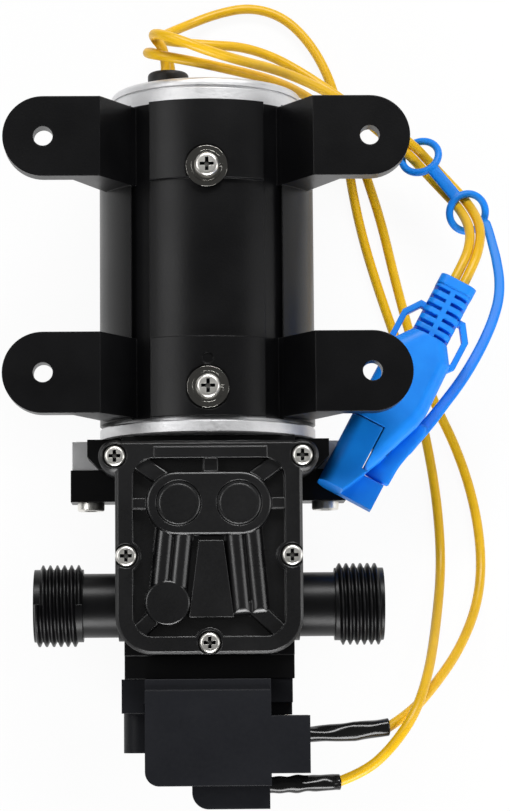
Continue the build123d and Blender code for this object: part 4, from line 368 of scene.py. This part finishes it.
def joined(name, bands, tori):
    """One mesh from several closed grids: bands end in poles, tori wrap both ways."""
    verts, faces, start = [], [], 0
    for points in bands + tori:
        rows, columns = points.shape[:2]
        grid = closed_grid(rows, columns, start)
        if any(points is torus for torus in tori):
            last = start + (rows - 1) * columns + np.arange(columns)
            first = start + np.arange(columns)
            seam = np.stack([last, np.roll(last, -1), np.roll(first, -1), first], axis=-1)
            grid = np.vstack([grid, seam])
        verts.append(points.reshape(-1, 3))
        faces.append(grid)
        start += rows * columns
    mesh = bpy.data.meshes.new(name)
    mesh.from_pydata(np.vstack(verts) * MM, [], np.vstack(faces))
    form = bmesh.new()
    form.from_mesh(mesh)
    bmesh.ops.remove_doubles(form, verts=form.verts, dist=1e-6)
    bmesh.ops.recalc_face_normals(form, faces=form.faces)
    form.to_mesh(mesh)
    form.free()
    mesh.polygons.foreach_set("use_smooth", np.ones(len(mesh.polygons), dtype=bool))
    piece = bpy.data.objects.new(name, mesh)
    bpy.context.scene.collection.objects.link(piece)
    print(name, "faces", len(mesh.polygons))
    return piece


strap = joined("cap_strap_soft", [ribbon, flare, link], rings)
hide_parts("cap_strap")
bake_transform(strap)

# %% [markdown]
# The spring behind the switch's piston shortens as the piston moves. A copy of the coil
# stands for it.

# %% Piston spring
spring = bpy.data.objects.new("piston_spring", nodes["switch_spring"].data.copy())
bpy.context.scene.collection.objects.link(spring)
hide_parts("switch_spring")
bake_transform(spring)

# %% [markdown]
# On the cover, the two valve seats show as shallow dished discs with a fine groove
# near the rim. Each is a profile turned about its own middle.

# %% Valve discs
COVER_TOP, DISH_X, DISH_Y, DISH_R = 58.2, 7.6, -18.5, 5.66
DISC_TOP, DISC_UNDERSIDE = COVER_TOP - 0.33, COVER_TOP - 0.95
GROOVE_R, GROOVE_WIDTH, GROOVE_DEPTH = 5.0, 0.28, 0.13
RIM_R, RIM_SLOPE = 5.3, 0.10
TOP_SHARE, EDGE_SHARE = 0.72, 0.78


def turned(middle, rows=70, columns=96):
    """Revolve a profile: flat, a bell-shaped groove near the rim, the rim, the underside."""
    t = np.linspace(0, 1, rows)
    reach = np.interp(t, [0, TOP_SHARE, EDGE_SHARE, 1.0], [0, DISH_R, DISH_R, 0])
    groove = GROOVE_DEPTH * np.exp(-((reach - GROOVE_R) / GROOVE_WIDTH) ** 2)
    top = DISC_TOP - groove + RIM_SLOPE * np.clip(reach - RIM_R, 0, 1)
    height = np.where(t <= TOP_SHARE, top, DISC_UNDERSIDE)
    angle = np.linspace(0, math.tau, columns, endpoint=False)
    ring_x = middle[0] + reach[:, None] * np.cos(angle)
    ring_y = middle[1] + reach[:, None] * np.sin(angle)
    return np.stack([ring_x, ring_y, np.broadcast_to(height[:, None], ring_x.shape)], axis=-1)


discs = joined("valve_discs", [turned((-DISH_X, DISH_Y)), turned((DISH_X, DISH_Y))], [])
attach(discs, "pump")

# %% [markdown]
# Finishes are node trees. A small class lets us write them as sums: it wraps a socket,
# and arithmetic on it adds Math nodes. Everything that varies over a surface is driven
# by Object coordinates, because these stay with the piece when it moves.

# %% A little language for materials


class Value:
    """A number that varies over a surface; arithmetic on it adds Math nodes."""

    def __init__(self, paint, socket):
        self.paint, self.socket = paint, socket

    def math(self, operation, first, second):
        return self.paint.add("ShaderNodeMath", {"operation": operation}, {0: first, 1: second})

    def __add__(self, other):
        return self.math("ADD", self, other)

    __radd__ = __add__

    def __sub__(self, other):
        return self.math("SUBTRACT", self, other)

    def __rsub__(self, other):
        return self.math("SUBTRACT", other, self)

    def __mul__(self, other):
        return self.math("MULTIPLY", self, other)

    __rmul__ = __mul__


class Paint:
    """One finish: a material with a Principled shader, and the nodes that feed it."""

    def __init__(self, name, colour, rough, metal=0.0):
        self.material = bpy.data.materials.new(name)
        self.material.use_nodes = True
        self.tree = self.material.node_tree
        self.shader = self.tree.nodes["Principled BSDF"]
        self.set("Base Color", colour)
        self.set("Roughness", rough)
        self.set("Metallic", metal)
        self.place = self.add("ShaderNodeTexCoord", out="Object")

    def set(self, socket, value):
        self.plug(self.shader.inputs[socket], value)

    def plug(self, socket, value):
        if isinstance(value, Value):
            self.tree.links.new(value.socket, socket)
        elif isinstance(value, tuple) and len(value) == 3 and socket.type == "RGBA":
            socket.default_value = (*value, 1.0)
        else:
            socket.default_value = value

    def add(self, kind, settings=None, values=None, out=0):
        """Any node: its settings first, then the values or links of its sockets."""
        node = self.tree.nodes.new(kind)
        for key, setting in (settings or {}).items():
            if key == "stops":
                ramp = node.color_ramp.elements
                while len(ramp) < len(setting):
                    ramp.new(0.5)
                for stop, (position, level) in zip(ramp, setting):
                    stop.position = position
                    stop.color = (*level, 1.0) if isinstance(level, tuple) else (level,) * 3 + (1.0,)
            else:
                setattr(node, key, setting)
        for key, value in (values or {}).items():
            self.plug(node.inputs[key], value)
        return Value(self, node.outputs[out])

    def noise(self, size, detail=3.0, rough=0.5, place=None):
        """Cloudy noise whose lumps are about size metres across, from 0 to 1."""
        return self.add("ShaderNodeTexNoise", {"noise_dimensions": "3D"},
                        {"Vector": place or self.place, "Scale": 1.0 / size, "Detail": detail,
                         "Roughness": rough})

    def stretched(self, scale):
        """The place with each axis scaled, for brushed or drawn patterns."""
        return self.add("ShaderNodeMapping", None, {"Vector": self.place, "Scale": scale})

    def ramp(self, value, *stops):
        return self.add("ShaderNodeValToRGB", {"stops": stops}, {"Fac": value})

    def mix(self, share, first, second):
        return self.add("ShaderNodeMix", {"data_type": "RGBA"},
                        {"Factor": share, 6: first, 7: second}, out=2)

    def edge(self, radius):
        """1 on edges and corners within radius, 0 on flat faces; and the rounded normal."""
        soft = self.add("ShaderNodeBevel", {"samples": 6}, {"Radius": radius})
        flat = self.add("ShaderNodeNewGeometry", out="Normal")
        along = self.add("ShaderNodeVectorMath", {"operation": "DOT_PRODUCT"},
                         {0: soft, 1: flat}, out="Value")
        return 1.0 - along, soft

    def open_sky(self, reach):
        """1 where nothing lies within reach above the surface, less in recesses."""
        return self.add("ShaderNodeAmbientOcclusion", {"samples": 12, "only_local": True},
                        {"Distance": reach}, out="AO")

    def bump(self, height, depth, normal):
        """Height from 0 to 1 stands depth metres proud of the rounded normal."""
        values = {"Height": height, "Distance": depth, "Strength": 1.0, "Normal": normal}
        self.set("Normal", self.add("ShaderNodeBump", None, values))


# %% [markdown]
# The mouldings are glass-filled nylon: black, with a fine spark-eroded grain and
# slightly worn, paler edges. Two noises do it. The finer is the grain: it is in the
# bump, and in the wear of the edges. The coarser makes the sheen patchy and shifts the
# black a little.

# %% Black mouldings
SHEEN_PATCH = 0.018
DARKER, PALER, PALE_LIFT = 0.72, 1.25, 0.002
WORN_GAIN, WORN_LIFT = 3.0, 0.010
CLOUD_SHEEN, SPECK_SHEEN = 0.16, 0.10


def moulding(name, colour, rough, grain=0.00045, grain_depth=0.00002, edge_r=0.0004, worn=0.5,
             gloss=0.5):
    """Grained plastic: dark and pale patches, and edges worn by the share worn."""
    paint = Paint(name, colour, rough)
    paint.set("Specular IOR Level", gloss)
    wear, rounded = paint.edge(edge_r)
    cloud = paint.noise(SHEEN_PATCH, 4)
    speck = paint.noise(grain, 2)
    dark = tuple(c * DARKER for c in colour)
    pale = tuple(c * PALER + PALE_LIFT for c in colour)
    body = paint.mix(cloud, dark, pale)
    worn_colour = tuple(c * WORN_GAIN + WORN_LIFT for c in colour)
    paint.set("Base Color", paint.mix(wear * worn * (0.6 + speck * 0.8), body, worn_colour))
    paint.set("Roughness", rough + (cloud - 0.5) * CLOUD_SHEEN + (speck - 0.5) * SPECK_SHEEN)
    paint.bump(speck, grain_depth, rounded)
    return paint


BLACK = (0.0014, 0.0014, 0.0018)
FINE_GRAIN = 0.000012
satin_black = moulding("satin_black", BLACK, 0.35, worn=0.25, gloss=0.24)
housing_black = moulding("housing_black", BLACK, 0.36, grain_depth=FINE_GRAIN, worn=0.15, gloss=0.26)
cover_black = moulding("cover_black", (0.0012, 0.0012, 0.0016), 0.30, grain_depth=FINE_GRAIN,
                       worn=0.12, gloss=0.8)
matt_black = moulding("matt_black", (0.0040, 0.0046, 0.0072), 0.50, grain=0.0011, grain_depth=0.00003,
                      worn=0.35, gloss=0.26)
grey_inner = moulding("grey_inner", (0.05, 0.05, 0.055), 0.5)
natural = moulding("natural", (0.62, 0.58, 0.50), 0.38)
print("mouldings", len(bpy.data.materials))

# %% [markdown]
# Metals: the flange and the end cap are cast aluminium with a mottled, slightly
# rough skin; the screws are bright nickel, with painted shade in their crosses; the can and the
# shaft are drawn steel. Roughness varies more than colour on real metal.

# %% Metals
METAL_PATCH, METAL_DARKER, METAL_PALER = 0.009, 0.80, 1.08
RECESS_SHADE, RECESS_STOPS = (0.008, 0.008, 0.009), ((0.58, 0.0), (0.84, 1.0))


def metal(name, colour, rough, lump=0.0006, depth=0.00001, spread=0.15, edge_r=0.00025,
          stretch=(1, 1, 1), recess=0.0):
    """Metal with a fine skin and patches; within the recess distance, hollows get painted shade."""
    paint = Paint(name, colour, rough, 1.0)
    _, rounded = paint.edge(edge_r)
    place = paint.stretched(stretch)
    fine = paint.noise(lump, 3, 0.6, place)
    cloud = paint.noise(METAL_PATCH, 4)
    dark = tuple(c * METAL_DARKER for c in colour)
    skin = paint.mix(cloud, dark, tuple(min(1.0, c * METAL_PALER) for c in colour))
    # Painted shade: ambient occlusion darkens the base colour in hollows within the recess distance.
    if recess:
        painted_shade = paint.ramp(paint.open_sky(recess), *RECESS_STOPS)
        skin = paint.mix(painted_shade, RECESS_SHADE, skin)
    paint.set("Base Color", skin)
    paint.set("Roughness", rough + (fine - 0.5) * spread + (cloud - 0.5) * spread)
    paint.bump(fine, depth, rounded)
    return paint


cast_aluminium = metal("cast_aluminium", (0.84, 0.84, 0.85), 0.52, 0.0011, 0.00006, 0.3)
# Both nickels get painted shade in their recesses: the screw crosses and the washer hollows.
bright_nickel = metal("bright_nickel", (0.93, 0.91, 0.86), 0.36, 0.0005, 0.000004, 0.16, 0.00006,
                      recess=0.0014)
washer_nickel = metal("washer_nickel", (0.42, 0.41, 0.38), 0.12, 0.0005, 0.000004, 0.08, 0.0002,
                      recess=0.0006)
drawn_steel = metal("drawn_steel", (0.56, 0.56, 0.57), 0.34, 0.0006, 0.000006, 0.2, stretch=(1, 0.08, 1))
dark_steel = metal("dark_steel", (0.30, 0.30, 0.31), 0.42)
brass = metal("brass", (0.78, 0.57, 0.24), 0.26, 0.0005, 0.000005)
copper = metal("copper", (0.82, 0.36, 0.18), 0.30, 0.0003, 0.00001)
print("mouldings and metals", len(bpy.data.materials))

# %% [markdown]
# Soft and bright plastics. The holder is blue polythene with a satin, waxy shading.
# The insulation is yellow PVC with the faint unevenness of an extruded skin. One
# noise mixes a deep and a light colour, and shifts the sheen a little with it.

# %% Coloured plastics and rubber
CLOUD_SHARE, PLASTIC_SHEEN = 0.8, 0.12
SKIN_SCALE, SKIN_DEPTH = 0.3, 0.00002


def plastic(name, deep, light, rough, edge_r=0.0006, lump=0.004):
    """Coloured plastic: deep to light by a noise of lump metres and by its edges."""
    paint = Paint(name, light, rough)
    wear, rounded = paint.edge(edge_r)
    cloud = paint.noise(lump, 3)
    paint.set("Base Color", paint.mix(cloud * CLOUD_SHARE + wear * (1 - CLOUD_SHARE), deep, light))
    paint.set("Roughness", rough + (cloud - 0.5) * PLASTIC_SHEEN)
    paint.bump(paint.noise(lump * SKIN_SCALE, 2), SKIN_DEPTH, rounded)
    return paint


blue_plastic = plastic("blue_plastic", (0.001, 0.190, 0.78), (0.002, 0.290, 0.95), 0.44)
blue_plastic.set("Specular IOR Level", 0.35)
yellow_skin = plastic("yellow_skin", (0.70, 0.39, 0.002), (0.92, 0.55, 0.004), 0.38, 0.0002, 0.003)
sleeve_black = plastic("sleeve_black", (0.004, 0.004, 0.004), (0.007, 0.007, 0.007), 0.17, 0.0002, 0.003)
soft_black = plastic("soft_black", (0.010, 0.010, 0.010), (0.018, 0.018, 0.018), 0.55, 0.0003, 0.002)
red_rubber = plastic("red_rubber", (0.10, 0.02, 0.012), (0.17, 0.045, 0.03), 0.5, 0.0002, 0.002)
fuse_plastic = plastic("fuse_plastic", (0.002, 0.10, 0.50), (0.004, 0.17, 0.66), 0.22, 0.0002, 0.002)
print("all finishes", len(bpy.data.materials))

# %% [markdown]
# Each solid keeps its shape and takes a finish in its material slot, and the pieces
# made here take theirs after them.

# %% Which finish each solid gets
finishes = {
    satin_black: ["mounting_bracket"],
    cover_black: ["pump_cover", "cover_gasket"],
    housing_black: ["pump_housing"],
    matt_black: ["switch_body", "switch_cover", "microswitch_body"],
    grey_inner: ["valve_plate", "brush_plate", "diaphragm_clamp"],
    natural: ["microswitch_button", "switch_piston"],
    cast_aluminium: ["motor_end_cap", "motor_flange", "connecting_rod"],
    bright_nickel: ["bracket_screws", "cover_screws", "switch_long_screws", "switch_short_screws",
                    "flange_bolts", "clamp_screw"],
    washer_nickel: ["bracket_flat_washers", "bracket_spring_washers"],
    drawn_steel: ["motor_can", "motor_tie_bolts", "motor_shaft", "crank_eccentric", "front_bearing",
                  "rear_bearing", "crank_bearing"],
    dark_steel: ["motor_magnets", "armature_core", "carbon_brushes"],
    brass: ["terminal_upper", "terminal_lower", "fuse_contacts", "adjusting_screw", "brush_springs"],
    copper: ["armature_windings", "commutator"],
    blue_plastic: ["fuse_strain_relief", "fuse_holder_body", "fuse_cap"],
    soft_black: ["wire_grommet", "diaphragm", "switch_diaphragm"],
    red_rubber: ["inlet_valve", "outlet_valve"],
    fuse_plastic: ["blade_fuse"],
}
for paint, names in finishes.items():
    for name in names:
        nodes[name].data.materials.clear()
        nodes[name].data.materials.append(paint.material)
for cord in (holder_cord, motor_cord, switch_cord):
    cord.data.materials.append(yellow_skin.material)
for sleeve in (upper_sleeve, lower_sleeve):
    sleeve.data.materials.append(sleeve_black.material)
strap.data.materials.append(blue_plastic.material)
spring.data.materials.clear()
spring.data.materials.append(drawn_steel.material)
discs.data.materials.append(cover_black.material)
print("finished solids", sum(len(names) for names in finishes.values()))

# %% [markdown]
# The stage is a white sheet. It is lit like any surface, and part of it also glows
# white for the camera and for reflections, so that the page looks white while the
# soft shadow under the pump stays.

# %% Floor
FLOOR_SPAN, FLOOR_Z = 6.0, -0.0003
PAPER, PAPER_ROUGH, GLOW_SHARE = (0.86, 0.86, 0.86), 0.9, 0.93
floor_mesh = bpy.data.meshes.new("floor")
reach = FLOOR_SPAN / 2
corners = [(x * reach, y * reach, FLOOR_Z) for x, y in ((-1, -1), (1, -1), (1, 1), (-1, 1))]
floor_mesh.from_pydata(corners, [], [(0, 1, 2, 3)])
floor = bpy.data.objects.new("floor", floor_mesh)
bpy.context.scene.collection.objects.link(floor)
sheet = Paint("white_sheet", PAPER, PAPER_ROUGH)


def seen_white(paint, share):
    """Share of white glow for camera, mirror and glass rays."""
    rays = [paint.add("ShaderNodeLightPath", out=kind)
            for kind in ("Is Camera Ray", "Is Glossy Ray", "Is Transmission Ray")]
    return (rays[0] + rays[1] + rays[2]) * share


glow = sheet.add("ShaderNodeEmission", None, {"Color": (1.0, 1.0, 1.0), "Strength": 1.0})
surface = Value(sheet, sheet.shader.outputs[0])
blend = sheet.add("ShaderNodeMixShader", None, {0: seen_white(sheet, GLOW_SHARE), 1: surface, 2: glow})
sheet.tree.links.new(blend.socket, sheet.tree.nodes["Material Output"].inputs["Surface"])
floor_mesh.materials.append(sheet.material)
print("floor", FLOOR_SPAN, "m wide")

# %% [markdown]
# Light: a large soft box beyond the switch end gives the long glints on the sleeves
# and the lower flanks, and one at the motor's end answers it. Weaker ones at the left
# and right graze the sides, and a dim sky fills the rest. Black plastic shows mostly
# what it reflects, so the sky stays dim.

# %% Lights
LAMPS = (
    ("front_box", (0.12, -0.95, 0.42), (0.0, 0.0, 0.03), (0.9, 0.44), 13.0),
    ("left_box", (-0.64, 0.16, 0.74), (0.0, 0.03, 0.03), (0.50, 0.42), 2.4),
    ("back_box", (0.15, 0.80, 0.75), (0.0, 0.0, 0.03), (0.8, 0.28), 9.5),
    ("right_box", (0.95, 0.0, 0.45), (0.0, 0.0, 0.03), (0.3, 0.8), 2.2),
)
SKY_STRENGTH = 0.09


def soft_box(name, place, target, size, power):
    """A rectangular lamp at place that faces target; size in metres, power in watts."""
    data = bpy.data.lights.new(name, "AREA")
    data.shape = "RECTANGLE"
    data.size, data.size_y = size
    data.energy = power
    lamp = bpy.data.objects.new(name, data)
    bpy.context.scene.collection.objects.link(lamp)
    lamp.location = place
    lamp.rotation_euler = (Vector(target) - Vector(place)).to_track_quat("-Z", "Y").to_euler()


for lamp_row in LAMPS:
    soft_box(*lamp_row)
world = bpy.data.worlds.new("studio")
bpy.context.scene.world = world
world.use_nodes = True
sky = world.node_tree.nodes["Background"]
sky.inputs["Color"].default_value = (1.0, 1.0, 1.0, 1.0)
sky.inputs["Strength"].default_value = SKY_STRENGTH
bpy.context.scene.view_settings.view_transform = "Standard"
print("lamps", len(LAMPS), "sky", SKY_STRENGTH)
